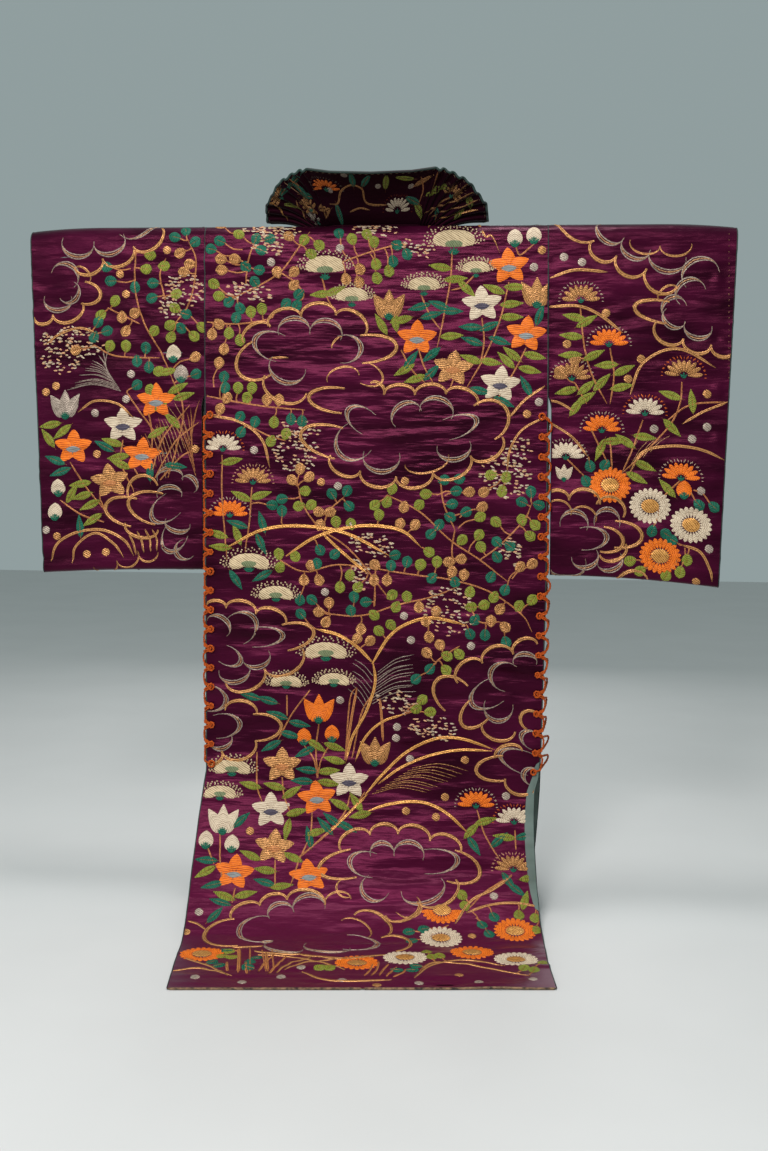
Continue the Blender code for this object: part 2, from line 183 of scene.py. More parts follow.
def profile(down):
    """Distance from the bar's plane and height of the outer face, at distances down the cloth."""
    angle = np.minimum(down, RIDGE_QUARTER) / RIDGE_RADIUS
    along = np.clip(down - LEAVE_DOWN, 0.0, CURVE_DOWN[-1])
    out = RIDGE_RADIUS * np.sin(angle) + np.interp(along, CURVE_DOWN, CURVE_Y) - RIDGE_RADIUS
    out = out + np.maximum(down - TOE_DOWN, 0.0)
    z = BAR_Z + RIDGE_RADIUS * np.cos(angle) - (np.clip(down, RIDGE_QUARTER, LEAVE_DOWN) - RIDGE_QUARTER)
    return out, z + np.interp(along, CURVE_DOWN, CURVE_Z) - LEAVE_Z


def body_points(face, across, down):
    """The body's outer face before folds: face -1 is the back, 1 the front."""
    out, z = profile(down)
    y = face * out
    start = LEAVE_DOWN - TURN_LEAD
    turn = TRAIN_TURN * smooth((down - start) / (TOE_DOWN - start)) * (face < 0)
    return np.stack((across * np.cos(turn) - y * np.sin(turn),
                     across * np.sin(turn) + y * np.cos(turn), z), axis=-1)


def hem_corner_reach():
    left = look_up(BACK_EDGES, BACK_LENGTH, 1)
    return -float(body_points(-1, np.array(left), np.array(BACK_LENGTH))[1])


FRONT_LENGTH = TOE_DOWN + hem_corner_reach() - TOE_Y


def grid_normals(points, face):
    along = np.gradient(points, axis=0)
    sideways = np.gradient(points, axis=1)
    normals = np.cross(along, sideways) * -face
    return normals / np.maximum(np.linalg.norm(normals, axis=-1, keepdims=True), 1e-12)


class Sheet:
    """One face of a cloth: a grid of points whose rows go down and whose columns go across."""

    def __init__(self, face, stops, across, points):
        self.face = face
        self.stops = stops
        self.across = across
        self.points = points
        self.normals = grid_normals(points, face)
        self.photo = to_photo(points)

    def raised(self, height):
        return Sheet(self.face, self.stops, self.across, self.points + self.normals * height[..., None])

    def spot(self, x, y):
        """The chart's place, across and down, of a pixel of the photograph."""
        miss = self.photo - (x, y)
        row, column = np.unravel_index(np.argmin((miss ** 2).sum(axis=-1)), miss.shape[:2])
        row = min(max(row, 1), len(self.stops) - 2)
        column = min(max(column, 1), self.across.shape[1] - 2)
        steps = np.stack((self.photo[row, column + 1] - self.photo[row, column - 1],
                          self.photo[row + 1, column] - self.photo[row - 1, column]), axis=-1) / 2
        columns, rows = np.linalg.solve(steps, np.array((x, y)) - self.photo[row, column])
        width = (self.across[row, column + 1] - self.across[row, column - 1]) / 2
        height = (self.stops[row + 1] - self.stops[row - 1]) / 2
        return np.array((self.across[row, column] + columns * width, self.stops[row] + rows * height))

    def spots(self, pixels):
        return np.array([self.spot(x, y) for x, y in pixels])

    def place(self, across, down, lift, margin):
        """Points over the cloth, and which of them lie within its edges by a margin."""
        rows, columns = self.across.shape
        row = np.interp(down, self.stops, np.arange(rows))
        left = np.interp(down, self.stops, self.across[:, 0]) + margin
        right = np.interp(down, self.stops, self.across[:, -1]) - margin
        inside = (across > left) & (across < right)
        inside &= (down > self.stops[0] + margin) & (down < self.stops[-1] - margin)
        row = np.clip(row, 0.0, np.interp(self.stops[-1] - margin, self.stops, np.arange(rows)))
        kept = np.clip(across, left, right)
        column = (kept - left + margin) / (right - left + 2 * margin) * (columns - 1)
        top = np.clip(row.astype(int), 0, rows - 2)
        side = np.clip(column.astype(int), 0, columns - 2)
        u = (row - top)[:, None]
        v = (column - side)[:, None]

        def between(values):
            upper = values[top, side] * (1 - v) + values[top, side + 1] * v
            lower = values[top + 1, side] * (1 - v) + values[top + 1, side + 1] * v
            return upper * (1 - u) + lower * u

        normals = between(self.normals)
        normals /= np.linalg.norm(normals, axis=1, keepdims=True)
        return between(self.points) + normals * lift[:, None], normals, inside


def row_stops(pieces):
    stops = [pieces[0][0]]
    for start, end, spacing in pieces:
        count = max(int(round((end - start) / spacing)), 1)
        stops += list(np.linspace(start, end, count + 1)[1:])
    return np.array(stops)


BACK_STOPS = row_stops(((0.0, RIDGE_QUARTER, 0.0045), (RIDGE_QUARTER, LEAVE_DOWN, 0.0046),
                        (LEAVE_DOWN, BACK_LENGTH, 0.0042)))
FRONT_STOPS = row_stops(((0.0, RIDGE_QUARTER, 0.0045), (RIDGE_QUARTER, LEAVE_DOWN, 0.0065),
                         (LEAVE_DOWN, FRONT_LENGTH, 0.0065)))
SLEEVE_STOPS = row_stops(((0.0, RIDGE_QUARTER, 0.0045), (RIDGE_QUARTER, RIDGE_QUARTER + SLEEVE_SIDE, 0.0046),
                          (RIDGE_QUARTER + SLEEVE_SIDE, SLEEVE_DOWN, 0.0030)))
STRIP_COLUMNS = 66
SLEEVE_COLUMNS = 68


def back_sheet():
    left = look_up(BACK_EDGES, BACK_STOPS, 1)[:, None]
    right = look_up(BACK_EDGES, BACK_STOPS, 2)[:, None]
    across = left + (right - left) * np.linspace(0.0, 1.0, 2 * STRIP_COLUMNS + 1)
    down = np.broadcast_to(BACK_STOPS[:, None], across.shape)
    return Sheet(-1, BACK_STOPS, across, body_points(-1, across, down))


def front_sheet(side):
    inner = side * look_up(FRONT_OPENING, FRONT_STOPS, 1)[:, None]
    outer = look_up(FRONT_EDGES, FRONT_STOPS, 1 if side < 0 else 2)[:, None]
    left, right = (outer, inner) if side < 0 else (inner, outer)
    across = left + (right - left) * np.linspace(0.0, 1.0, STRIP_COLUMNS * 3 // 4 + 1)
    down = np.broadcast_to(FRONT_STOPS[:, None], across.shape)
    return Sheet(1, FRONT_STOPS, across, body_points(1, across, down))


def body_edge_at_height(z, side):
    down = RIDGE_QUARTER + BAR_Z - np.minimum(z, BAR_Z)
    return look_up(BACK_EDGES, down, 1 if side < 0 else 2)


def sleeve_sheet(name, face):
    side, sag, gap = SLEEVES[name]
    part = np.linspace(0.0, 1.0, SLEEVE_COLUMNS + 1)[None, :]
    down = SLEEVE_STOPS[:, None]
    past_bar = np.maximum(part - DROOP_START, 0.0) / (1.0 - DROOP_START)
    upper = RIDGE_Z - CUFF_DROOP * past_bar ** 2 - RIDGE_RADIUS
    lower = RIDGE_Z - SLEEVE_HEIGHT - sag * part ** 2 + FOOT_RADIUS
    over = np.minimum(down, RIDGE_QUARTER) / RIDGE_RADIUS
    fall = np.clip((down - RIDGE_QUARTER) / SLEEVE_SIDE, 0.0, 1.0)
    under = np.maximum(down - RIDGE_QUARTER - SLEEVE_SIDE, 0.0) / FOOT_RADIUS
    widening = (smooth(1.0 - fall) + 1.0 - fall) / 2
    depth = (FOOT_RADIUS + (RIDGE_RADIUS - FOOT_RADIUS) * widening) * np.sin(over) * np.cos(under)
    z = upper + (lower - upper) * fall + RIDGE_RADIUS * np.cos(over) - FOOT_RADIUS * np.sin(under)
    free = smooth((SEWN_DOWN_TO_Z - z) / (SEWN_DOWN_TO_Z - FREE_FROM_Z))
    inner = side * SEAM_GAP + side * gap * free + body_edge_at_height(z, side)
    outer = side * (SLEEVE_REACH - CUFF_INSET * (RIDGE_Z - z) / SLEEVE_HEIGHT)
    x = inner + (outer - inner) * part
    points = np.stack((x, face * depth + 0.0 * x, z), axis=-1)
    if side < 0:
        points = points[:, ::-1]
    return Sheet(face, SLEEVE_STOPS, points[..., 0].copy(), points)


def crease_height(sheet, creases):
    """Soft troughs and ridges: across, down, half length, half width, height, tilt."""
    height = np.zeros(sheet.across.shape)
    for across, down, half_length, half_width, rise, tilt in creases:
        reach = 3.0 * half_width + abs(tilt) * half_length
        rows = np.abs(sheet.stops - down) < reach
        if rows.any():
            beside = (sheet.across[rows] - across) / half_length
            middle = down + tilt * (sheet.across[rows] - across)
            ends = np.cos(math.pi / 2 * np.clip(beside, -1.0, 1.0)) ** 2
            height[rows] += rise * ends * np.exp(-((sheet.stops[rows][:, None] - middle) / half_width) ** 2)
    return height


# Finishes

def principled(name, colour, roughness, metallic=0.0):
    finish = bpy.data.materials.new(name)
    finish.use_nodes = True
    shader = finish.node_tree.nodes["Principled BSDF"]
    shader.inputs["Base Color"].default_value = (*colour, 1.0)
    shader.inputs["Roughness"].default_value = roughness
    shader.inputs["Metallic"].default_value = metallic
    return finish, finish.node_tree.nodes, finish.node_tree.links, shader


def stretched(nodes, links, source, scale):
    mapping = nodes.new("ShaderNodeMapping")
    mapping.inputs["Scale"].default_value = scale
    links.new(source, mapping.inputs["Vector"])
    return mapping.outputs["Vector"]


def noise(nodes, links, source, scale, detail=2.0):
    texture = nodes.new("ShaderNodeTexNoise")
    texture.inputs["Scale"].default_value = scale
    texture.inputs["Detail"].default_value = detail
    links.new(source, texture.inputs["Vector"])
    return texture.outputs["Fac"]


def blend_colours(nodes, links, amount, first, second, low=0.35, high=0.65):
    ramp = nodes.new("ShaderNodeValToRGB")
    ramp.color_ramp.elements[0].position = low
    ramp.color_ramp.elements[0].color = (*first, 1.0)
    ramp.color_ramp.elements[1].position = high
    ramp.color_ramp.elements[1].color = (*second, 1.0)
    links.new(amount, ramp.inputs["Fac"])
    return ramp.outputs["Color"]


def bump(nodes, links, height, distance, before=None):
    node = nodes.new("ShaderNodeBump")
    node.inputs["Strength"].default_value = 1.0
    node.inputs["Distance"].default_value = distance
    links.new(height, node.inputs["Height"])
    if before is not None:
        links.new(before, node.inputs["Normal"])
    return node.outputs["Normal"]


def ranged(nodes, links, value, low, high):
    node = nodes.new("ShaderNodeMapRange")
    node.inputs["To Min"].default_value = low
    node.inputs["To Max"].default_value = high
    links.new(value, node.inputs["Value"])
    return node.outputs["Result"]


SATIN_GLOSS = (1.0, 0.16, 0.38, 1.0)
# Between these heights the satin is painted lighter towards the floor: painted light on the train lying face
# up
PAINTED_LIGHT_FROM_Z = 0.20
PAINTED_LIGHT_FULL_Z = 0.02
# A wave texture of scale 0.314 repeats every metre
WAVE_SCALE = 0.314
MIDDLING_PATCHES = (5.0, 5.0, 16.0)
SMALL_PATCHES = (160.0, 160.0, 160.0)
SLUB_STRETCH = (14.0, 14.0, 900.0)
CRINKLE_STRETCH = (15.0, 15.0, 66.0)
# Stretches of the fine streaks along the threads: painted glints on metal threads, painted sheen and shade
# on silk
METAL_GLINT_STREAKS = (300.0, 480.0, 40.0)
SILK_GRAIN = (70.0, 520.0, 40.0)
STITCH_PITCH = 0.0034
PLY_PITCH = 0.0012


def object_place(nodes):
    return nodes.new("ShaderNodeTexCoord").outputs["Object"]


def painted_light_towards_floor(nodes, links, place, colour, fresh):
    """The colour, turning to a lighter one towards the floor: painted light on the train, which lies face up
    there; fresh is that painted lit colour.
    """
    parts = nodes.new("ShaderNodeSeparateXYZ")
    links.new(place, parts.inputs["Vector"])
    share = nodes.new("ShaderNodeMapRange")
    share.inputs["From Min"].default_value = PAINTED_LIGHT_FROM_Z
    share.inputs["From Max"].default_value = PAINTED_LIGHT_FULL_Z
    links.new(parts.outputs["Z"], share.inputs["Value"])
    mixed = nodes.new("ShaderNodeMixRGB")
    mixed.inputs["Color2"].default_value = (*fresh, 1.0)
    links.new(share.outputs["Result"], mixed.inputs["Fac"])
    links.new(colour, mixed.inputs["Color1"])
    return mixed.outputs["Color"]


def woven(name, dark, light, roughness, sheen, thread, slub, crinkle,
          patches=MIDDLING_PATCHES, fresh=None, gloss=0.28):
    """Cloth with a fine weave, slubs along the weft, small crinkles, and changes of colour and gloss; fresh,
    when given, is a lighter colour painted towards the floor as painted light.
    """
    finish, nodes, links, shader = principled(name, light, roughness[0])
    place = object_place(nodes)
    slow = noise(nodes, links, stretched(nodes, links, place, patches), 1.0, 4.0)
    colour = blend_colours(nodes, links, slow, dark, light)
    # Painted light: the colour turns lighter towards the floor, where the train lies face up
    if fresh is not None:
        colour = painted_light_towards_floor(nodes, links, place, colour, fresh)
    links.new(colour, shader.inputs["Base Color"])
    links.new(ranged(nodes, links, slow, *roughness), shader.inputs["Roughness"])
    shader.inputs["Sheen Weight"].default_value = sheen
    shader.inputs["Sheen Roughness"].default_value = 0.35
    shader.inputs["Sheen Tint"].default_value = SATIN_GLOSS
    shader.inputs["Specular Tint"].default_value = SATIN_GLOSS
    shader.inputs["Specular IOR Level"].default_value = gloss
    weft = noise(nodes, links, stretched(nodes, links, place, SLUB_STRETCH), 1.0)
    creases = noise(nodes, links, stretched(nodes, links, place, CRINKLE_STRETCH), 1.0, 2.5)
    weave = nodes.new("ShaderNodeTexWave")
    weave.inputs["Scale"].default_value = WAVE_SCALE / thread
    weave.inputs["Distortion"].default_value = 0.4
    links.new(place, weave.inputs["Vector"])
    first = bump(nodes, links, creases, crinkle)
    second = bump(nodes, links, weft, slub, first)
    links.new(bump(nodes, links, weave.outputs["Fac"], thread * 0.03, second), shader.inputs["Normal"])
    return finish


def silk(name, colour, shade, metallic, roughness, pitch=STITCH_PITCH):
    """Embroidery: rows of stitches follow the thread attribute, and each motif differs a little."""
    finish, nodes, links, shader = principled(name, colour, roughness, metallic)
    shader.inputs["Specular IOR Level"].default_value = 0.20
    thread = nodes.new("ShaderNodeAttribute")
    thread.attribute_name = "thread"
    place = thread.outputs["Vector"]
    grain = METAL_GLINT_STREAKS if metallic else SILK_GRAIN
    streaks = noise(nodes, links, stretched(nodes, links, place, grain), 1.0, 3.0)
    rows = nodes.new("ShaderNodeTexWave")
    rows.bands_direction = "Y"
    rows.inputs["Scale"].default_value = WAVE_SCALE / pitch
    rows.inputs["Distortion"].default_value = 2.0
    rows.inputs["Detail"].default_value = 1.0
    rows.inputs["Detail Scale"].default_value = 0.6
    links.new(place, rows.inputs["Vector"])
    # The colour runs to the shade colour in the grooves between rows and along the streaks: painted shade
    # between the threads, painted glints and sheen along them
    both = nodes.new("ShaderNodeMath")
    both.operation = "MULTIPLY_ADD"
    both.inputs[1].default_value = 0.45
    links.new(rows.outputs["Fac"], both.inputs[0])
    links.new(streaks, both.inputs[2])
    links.new(blend_colours(nodes, links, both.outputs["Value"], shade, colour, 0.42, 0.82),
              shader.inputs["Base Color"])
    first = bump(nodes, links, streaks, 0.0008)
    links.new(bump(nodes, links, rows.outputs["Fac"], 0.0006, first), shader.inputs["Normal"])
    return finish


AUBERGINE_DARK = (0.0055, 0.0003, 0.0024)
AUBERGINE = (0.038, 0.0020, 0.0145)
# The lighter satin painted near the floor: painted light on the train
AUBERGINE_PAINTED_LIT = (0.070, 0.0036, 0.025)
# Dark and light colour, roughness from and to, sheen, thread, slub and crinkle; then patches, a lighter
# colour painted near the floor as painted light on the train, and gloss
CLOTHS = {
    "satin": (AUBERGINE_DARK, AUBERGINE, (0.25, 0.40), 0.02, 0.0011, 0.00022, 0.0034,
              MIDDLING_PATCHES, AUBERGINE_PAINTED_LIT),
    # The collar's satin is painted far darker, with low gloss: painted shade, for the shadow over the
    # standing collar
    "collar_satin": ((0.0015, 0.0003, 0.0008), (0.005, 0.0008, 0.0026), (0.45, 0.60), 0.01,
                     0.0011, 0.00025, 0.0020, MIDDLING_PATCHES, None, 0.10),
    "lining": ((0.085, 0.130, 0.110), (0.140, 0.200, 0.175), (0.60, 0.75), 0.05, 0.0014, 0.00015, 0.0006),
    "edging": ((0.008, 0.024, 0.020), (0.020, 0.060, 0.048), (0.50, 0.65), 0.05, 0.0010, 0.0002, 0.0002),
    "worn_hem": ((0.012, 0.022, 0.016), (0.260, 0.170, 0.090), (0.45, 0.70), 0.05,
                 0.0012, 0.0005, 0.0004, SMALL_PATCHES),
}
FINISHES = {name: woven(name, *values) for name, values in CLOTHS.items()}
FINISHES["cord"] = silk("cord", (0.860, 0.150, 0.018), (0.420, 0.050, 0.007), 0.0, 0.55, PLY_PITCH)
# Colour, shade between the threads, metallic, roughness
SILKS = {
    "orange": ((0.860, 0.190, 0.012), (0.380, 0.050, 0.005), 0.0, 0.50),
    "white": ((0.700, 0.570, 0.410), (0.330, 0.220, 0.150), 0.0, 0.50),
    "cream": ((0.660, 0.500, 0.300), (0.230, 0.150, 0.080), 0.0, 0.50),
    "peach": ((0.700, 0.400, 0.220), (0.420, 0.190, 0.090), 0.0, 0.50),
    "gold": ((0.560, 0.265, 0.092), (0.090, 0.030, 0.009), 0.40, 0.33),
    "bright_gold": ((0.760, 0.370, 0.100), (0.170, 0.050, 0.010), 0.40, 0.30),
    "peach_gold": ((0.620, 0.330, 0.150), (0.130, 0.055, 0.024), 0.35, 0.36),
    "silver": ((0.440, 0.350, 0.280), (0.130, 0.092, 0.074), 0.30, 0.38),
    "stem": ((0.540, 0.210, 0.068), (0.150, 0.045, 0.015), 0.20, 0.42),
    "leaf": ((0.250, 0.265, 0.030), (0.048, 0.060, 0.005), 0.0, 0.50),
    "teal": ((0.009, 0.135, 0.078), (0.002, 0.030, 0.020), 0.0, 0.50),
    "slate": ((0.260, 0.270, 0.260), (0.100, 0.105, 0.115), 0.0, 0.50),
    "violet": ((0.080, 0.065, 0.090), (0.030, 0.022, 0.040), 0.0, 0.50),
    "sage": ((0.190, 0.220, 0.110), (0.080, 0.100, 0.050), 0.0, 0.50),
}
# The collar's silks are copies darkened by this share: painted shade, for the shadow over the collar
COLLAR_PAINTED_SHADE = 0.36
for name, (colour, shade, *shine) in SILKS.items():
    FINISHES[name] = silk(name, colour, shade, *shine)
    dimmed = [COLLAR_PAINTED_SHADE * np.array(tint) for tint in (colour, shade)]
    FINISHES["collar_" + name] = silk("collar_" + name, *dimmed, *shine)


# Meshes

LOWEST_CLOTH = 0.0004
TUBE_SIDES = 6
CORD_SIDES = 10
TWIST_PITCH = 0.0085
PLY_WAIST = 0.58


def add_mesh(name, points, faces, finishes, slots=None, threads=None):
    mesh = bpy.data.meshes.new(name)
    mesh.from_pydata(points.tolist(), [], faces.tolist())
    for finish in finishes:
        mesh.materials.append(FINISHES[finish])
    if slots is not None:
        mesh.polygons.foreach_set("material_index", slots)
    if threads is not None:
        mesh.attributes.new("thread", "FLOAT_VECTOR", "POINT").data.foreach_set("vector", threads.ravel())
    mesh.polygons.foreach_set("use_smooth", np.ones(len(faces), dtype=bool))
    mesh.update()
    piece = bpy.data.objects.new(name, mesh)
    bpy.context.scene.collection.objects.link(piece)
    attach(piece, "root")
    return piece


def quads(rows, columns, start=0, ring=False, flip=False):
    index = start + np.arange(rows * columns).reshape(rows, columns)
    if ring:
        index = np.concatenate((index, index[:, :1]), axis=1)
    corners = [index[:-1, :-1], index[:-1, 1:], index[1:, 1:], index[1:, :-1]]
    if flip:
        corners.reverse()
    return np.stack(corners, axis=-1).reshape(-1, 4)


def cloth_mesh(name, grids, finish):
    """One cloth piece from its faces; each grid comes with the face it belongs to."""
    points = []
    faces = []
    for face, grid in grids:
        faces.append(quads(*grid.shape[:2], start=sum(map(len, points)), flip=face < 0))
        points.append(grid.reshape(-1, 3))
    points = np.concatenate(points)
    points[:, 2] = np.maximum(points[:, 2], LOWEST_CLOTH)
    return add_mesh(name, points, np.concatenate(faces), [finish])


def path_run(path):
    """Distances along a path, from its start."""
    return np.concatenate(([0.0], np.cumsum(np.linalg.norm(np.diff(path, axis=0), axis=1))))


def carried_frame(path):
    """Directions across a path that turn with it as little as they can."""
    ahead = np.gradient(path, axis=0)
    ahead /= np.linalg.norm(ahead, axis=1, keepdims=True)
    first = np.cross(ahead[0], (0.0, 0.0, 1.0) if abs(ahead[0][2]) < 0.9 else (1.0, 0.0, 0.0))
    sides = [first / np.linalg.norm(first)]
    for step in ahead[1:]:
        side = sides[-1] - step * np.dot(sides[-1], step)
        sides.append(side / np.linalg.norm(side))
    sides = np.array(sides)
    return sides, np.cross(ahead, sides)


def plain_tube(path, radius):
    """A round tube along a path, its ends drawn in to close it."""
    side, other = carried_frame(path)
    angles = np.linspace(0.0, 2 * math.pi, TUBE_SIDES, endpoint=False)
    reach = np.full((len(path), 1, 1), radius)
    reach[[0, -1]] *= 0.05
    rings = path[:, None] + reach * (np.cos(angles)[None, :, None] * side[:, None]
                                     + np.sin(angles)[None, :, None] * other[:, None])
    rings[..., 2] = np.maximum(rings[..., 2], LOWEST_CLOTH)
    return rings, np.stack(np.broadcast_arrays(path_run(path)[:, None], radius * angles, 0.0), axis=-1)


def twisted(path, radius):
    """A two-ply cord: two strands wound round each other."""
    across, other = carried_frame(path)
    run = path_run(path)[:, None]
    angles = np.linspace(0.0, 2 * math.pi, CORD_SIDES, endpoint=False)[None, :]
    turn = 2 * math.pi * run / TWIST_PITCH
    reach = radius * np.maximum(np.abs(np.cos(angles - turn)), PLY_WAIST)
    rings = path[:, None] + (reach * np.cos(angles))[..., None] * across[:, None]
    rings = rings + (reach * np.sin(angles))[..., None] * other[:, None]
    return rings, np.stack(np.broadcast_arrays(run, radius * (angles - turn), 0.0), axis=-1)


def tubes(name, paths, radius, finish, section=plain_tube):
    """Several tubes in one piece; the section gives the rings along a path and their threads."""
    points = []
    faces = []
    threads = []
    for path in paths:
        rings, along = section(path, radius)
        faces.append(quads(*rings.shape[:2], start=sum(map(len, points)), ring=True))
        points.append(rings.reshape(-1, 3))
        threads.append(along.reshape(-1, 3))
    return add_mesh(name, np.concatenate(points), np.concatenate(faces), [finish],
                    threads=np.concatenate(threads))


def smooth_path(points, spacing):
    """A Catmull-Rom curve through points, with samples about that far apart."""
    points = np.asarray(points, dtype=float)
    before = np.concatenate((2 * points[:1] - points[1:2], points[:-1]))
    after = np.concatenate((points[1:], 2 * points[-1:] - points[-2:-1]))
    pieces = []
    for index in range(len(points) - 1):
        length = np.linalg.norm(points[index + 1] - points[index])
        t = np.linspace(0.0, 1.0, max(int(length / spacing), 2), endpoint=False)[:, None]
        start, end = points[index], points[index + 1]
        leave = (end - before[index]) / 2
        arrive = (after[index + 1] - start) / 2
        pieces.append((2 * t ** 3 - 3 * t ** 2 + 1) * start + (t ** 3 - 2 * t ** 2 + t) * leave
                      + (3 * t ** 2 - 2 * t ** 3) * end + (t ** 3 - t ** 2) * arrive)
    pieces.append(points[-1:])
    return np.concatenate(pieces)


# Embroidery shapes, all in the chart of a sheet: metres across and metres down

RIBBON_SECTION = np.array(((-1.0, 0.0), (-0.6, 0.8), (0.0, 1.0), (0.6, 0.8), (1.0, 0.0)))
LEAF_SECTION = np.array((-1.0, -0.8, -0.4, -0.12, 0.0, 0.12, 0.4, 0.8, 1.0))
UNDER = -0.0002
EDGE_MARGIN = 0.0015
LINE_SPACING = 0.005
HAIR_SPACING = 0.007
TWIG_SPACING = 0.006
# Rise of each kind of stitching off the cloth
HAIR_RISE = 0.0008
FINE_RISE = 0.0009
LINE_RISE = 0.0010
OUTLINE_RISE = 0.0014
BLADE_RISE = 0.0013
PETAL_RISE = 0.0011
LEAF_RISE = 0.0013
BLOOM_RISE = 0.0016
BELL_RISE = 0.0018
SEPAL_RISE = 0.0022
HEART_RISE = 0.0010
DOTS_RISE = 0.0014


class Needlework:
    """Embroidery for one chart: points across, down and out, quads, thread directions and colours."""

    def __init__(self, seed):
        self.chance = np.random.default_rng(seed)
        self.points = []
        self.threads = []
        self.faces = []
        self.colours = []
        self.count = 0

    def patch(self, across, down, out, along, beside, colour, ring=False):
        rows, columns = across.shape
        chance = np.full(across.shape, self.chance.random())
        self.points.append(np.stack((across, down, out), axis=-1).reshape(-1, 3))
        self.threads.append(np.stack(np.broadcast_arrays(along, beside, chance), axis=-1).reshape(-1, 3))
        faces = quads(rows, columns, self.count, ring)
        self.faces.append(faces)
        self.colours += [colour] * len(faces)
        self.count += rows * columns

    def ribbon(self, path, width, colour, height, ends=(0.5, 0.5), taper=0.14):
        """A couched line: a low round band along a path, narrower at its ends."""
        path = np.asarray(path)
        run = path_run(path)
        ahead = np.gradient(path, axis=0)
        ahead /= np.maximum(np.linalg.norm(ahead, axis=1, keepdims=True), 1e-9)
        share = np.interp(run / run[-1], (0.0, taper, 1.0 - taper, 1.0), (ends[0], 1.0, 1.0, ends[1]))
        reach = (width / 2 * share)[:, None] * RIBBON_SECTION[:, 0]
        out = UNDER + (height - UNDER) * RIBBON_SECTION[:, 1] + 0.0 * reach
        self.patch(path[:, :1] - ahead[:, 1:] * reach, path[:, 1:] + ahead[:, :1] * reach, out,
                   run[:, None] + 0.0 * reach, reach, colour)

    def leaf(self, base, tip, width, colour, fullness=0.85, point=0.75, vein=0.5, height=PETAL_RISE):
        """A leaf or petal stitched from its middle line outwards."""
        base = np.asarray(base)
        axis = np.asarray(tip) - base
        length = np.linalg.norm(axis)
        axis = axis / length
        run = np.linspace(0.0, 1.0, 9)
        half = width / 2 * np.maximum(np.sin(math.pi * run ** fullness), 0.003) ** point
        reach = half[:, None] * LEAF_SECTION
        crown = np.sqrt(np.maximum(1.0 - LEAF_SECTION ** 2, 0.0))
        crown = crown * (1.0 - vein * np.exp(-(LEAF_SECTION / 0.14) ** 2))
        out = UNDER + (height - UNDER) * crown * np.minimum(half / (0.25 * width), 1.0)[:, None]
        middle = base + axis * (run * length)[:, None]
        self.patch(middle[:, :1] - axis[1] * reach, middle[:, 1:] + axis[0] * reach, out,
                   np.abs(reach), (run * length)[:, None] + 0.6 * np.abs(reach), colour)

    def disc(self, centre, outline, colour, height, rows=5, slant=0.0, base=0.0):
        """A filled shape round a centre; the outline gives across and down from it."""
        part = np.linspace(0.02, 1.0, rows)[:, None]
        across = part * outline[:, 0]
        down = part * outline[:, 1]
        out = base + UNDER + (height - UNDER) * np.sqrt(np.maximum(1.0 - part ** 3, 0.0)) + 0.0 * across
        turn = math.radians(slant)
        along = across * math.cos(turn) + down * math.sin(turn)
        beside = down * math.cos(turn) - across * math.sin(turn)
        self.patch(centre[0] + across, centre[1] + down, out, along, beside, colour, ring=True)

    def stitch(self, place, angle, length, width, colour, height=HAIR_RISE):
        """A single short stitch; the angle is measured from straight across, upwards."""
        run = np.array((-1.0, -0.5, 0.5, 1.0))[:, None] * length / 2
        reach = np.array((-1.0, 0.0, 1.0))[None, :] * width / 2 * np.array((0.15, 1.0, 1.0, 0.15))[:, None]
        out = np.array((UNDER, height, UNDER))[None, :] + 0.0 * reach
        across = place[0] + run * math.cos(angle) + reach * math.sin(angle)
        down = place[1] - run * math.sin(angle) + reach * math.cos(angle)
        self.patch(across, down, out, run + 0.0 * reach, reach, colour)


def oval(half_width, half_height, points=20):
    angles = np.linspace(0.0, 2 * math.pi, points, endpoint=False)
    return np.stack((half_width * np.cos(angles), half_height * np.sin(angles)), axis=-1)


def heading(angle):
    """The direction at an angle from straight across, upwards, in degrees."""
    return np.array((math.cos(math.radians(angle)), -math.sin(math.radians(angle))))


def sepals(work, base, drop, angles, reach, width, height=SEPAL_RISE):
    """Small green leaves that spread upwards from a little below a flower's foot."""
    for angle in angles:
        work.leaf(base + (0.0, drop), base + heading(angle) * reach, width, "teal", height=height)


def bellflower(work, centre, colour, turn):
    """An open five-petalled star with an oval heart, laid in rows straight across."""
    angles = np.linspace(0.0, 360.0, 60, endpoint=False)
    from_tip = (angles - 90.0 - turn + 36.0) % 72.0 - 36.0
    part = np.abs(from_tip) / 36.0
    radius = BELL_WIDTH / 2 * (0.55 + 0.45 * (1.0 - part) ** 1.25)
    ring = np.linspace(0.02, 1.0, 7)[:, None]
    across = ring * radius * np.cos(np.radians(angles))
    down = -0.88 * ring * radius * np.sin(np.radians(angles))
    groove = 1.0 - 0.65 * np.exp(-((1.0 - part) / 0.16) ** 2)
    out = UNDER + BELL_RISE * np.sqrt(np.maximum(1.0 - ring ** 4, 0.0)) * groove
    rows = down + 0.10 * np.abs(across)
    work.patch(centre[0] + across, centre[1] + down, out, across, rows, colour, ring=True)
    heart = {"orange": "slate", "white": "violet"}.get(colour, "stem")
    middle = np.array((centre[0], centre[1] + 0.05 * BELL_WIDTH))
    work.disc(middle, oval(0.17 * BELL_WIDTH, 0.080 * BELL_WIDTH), heart, HEART_RISE, base=0.0014)
    for angle in range(0, 360, 24):
        place = middle + heading(angle) * (0.19 * BELL_WIDTH, 0.10 * BELL_WIDTH)
        work.stitch(place, math.radians(angle), *HEART_STITCH, heart, SEPAL_RISE)


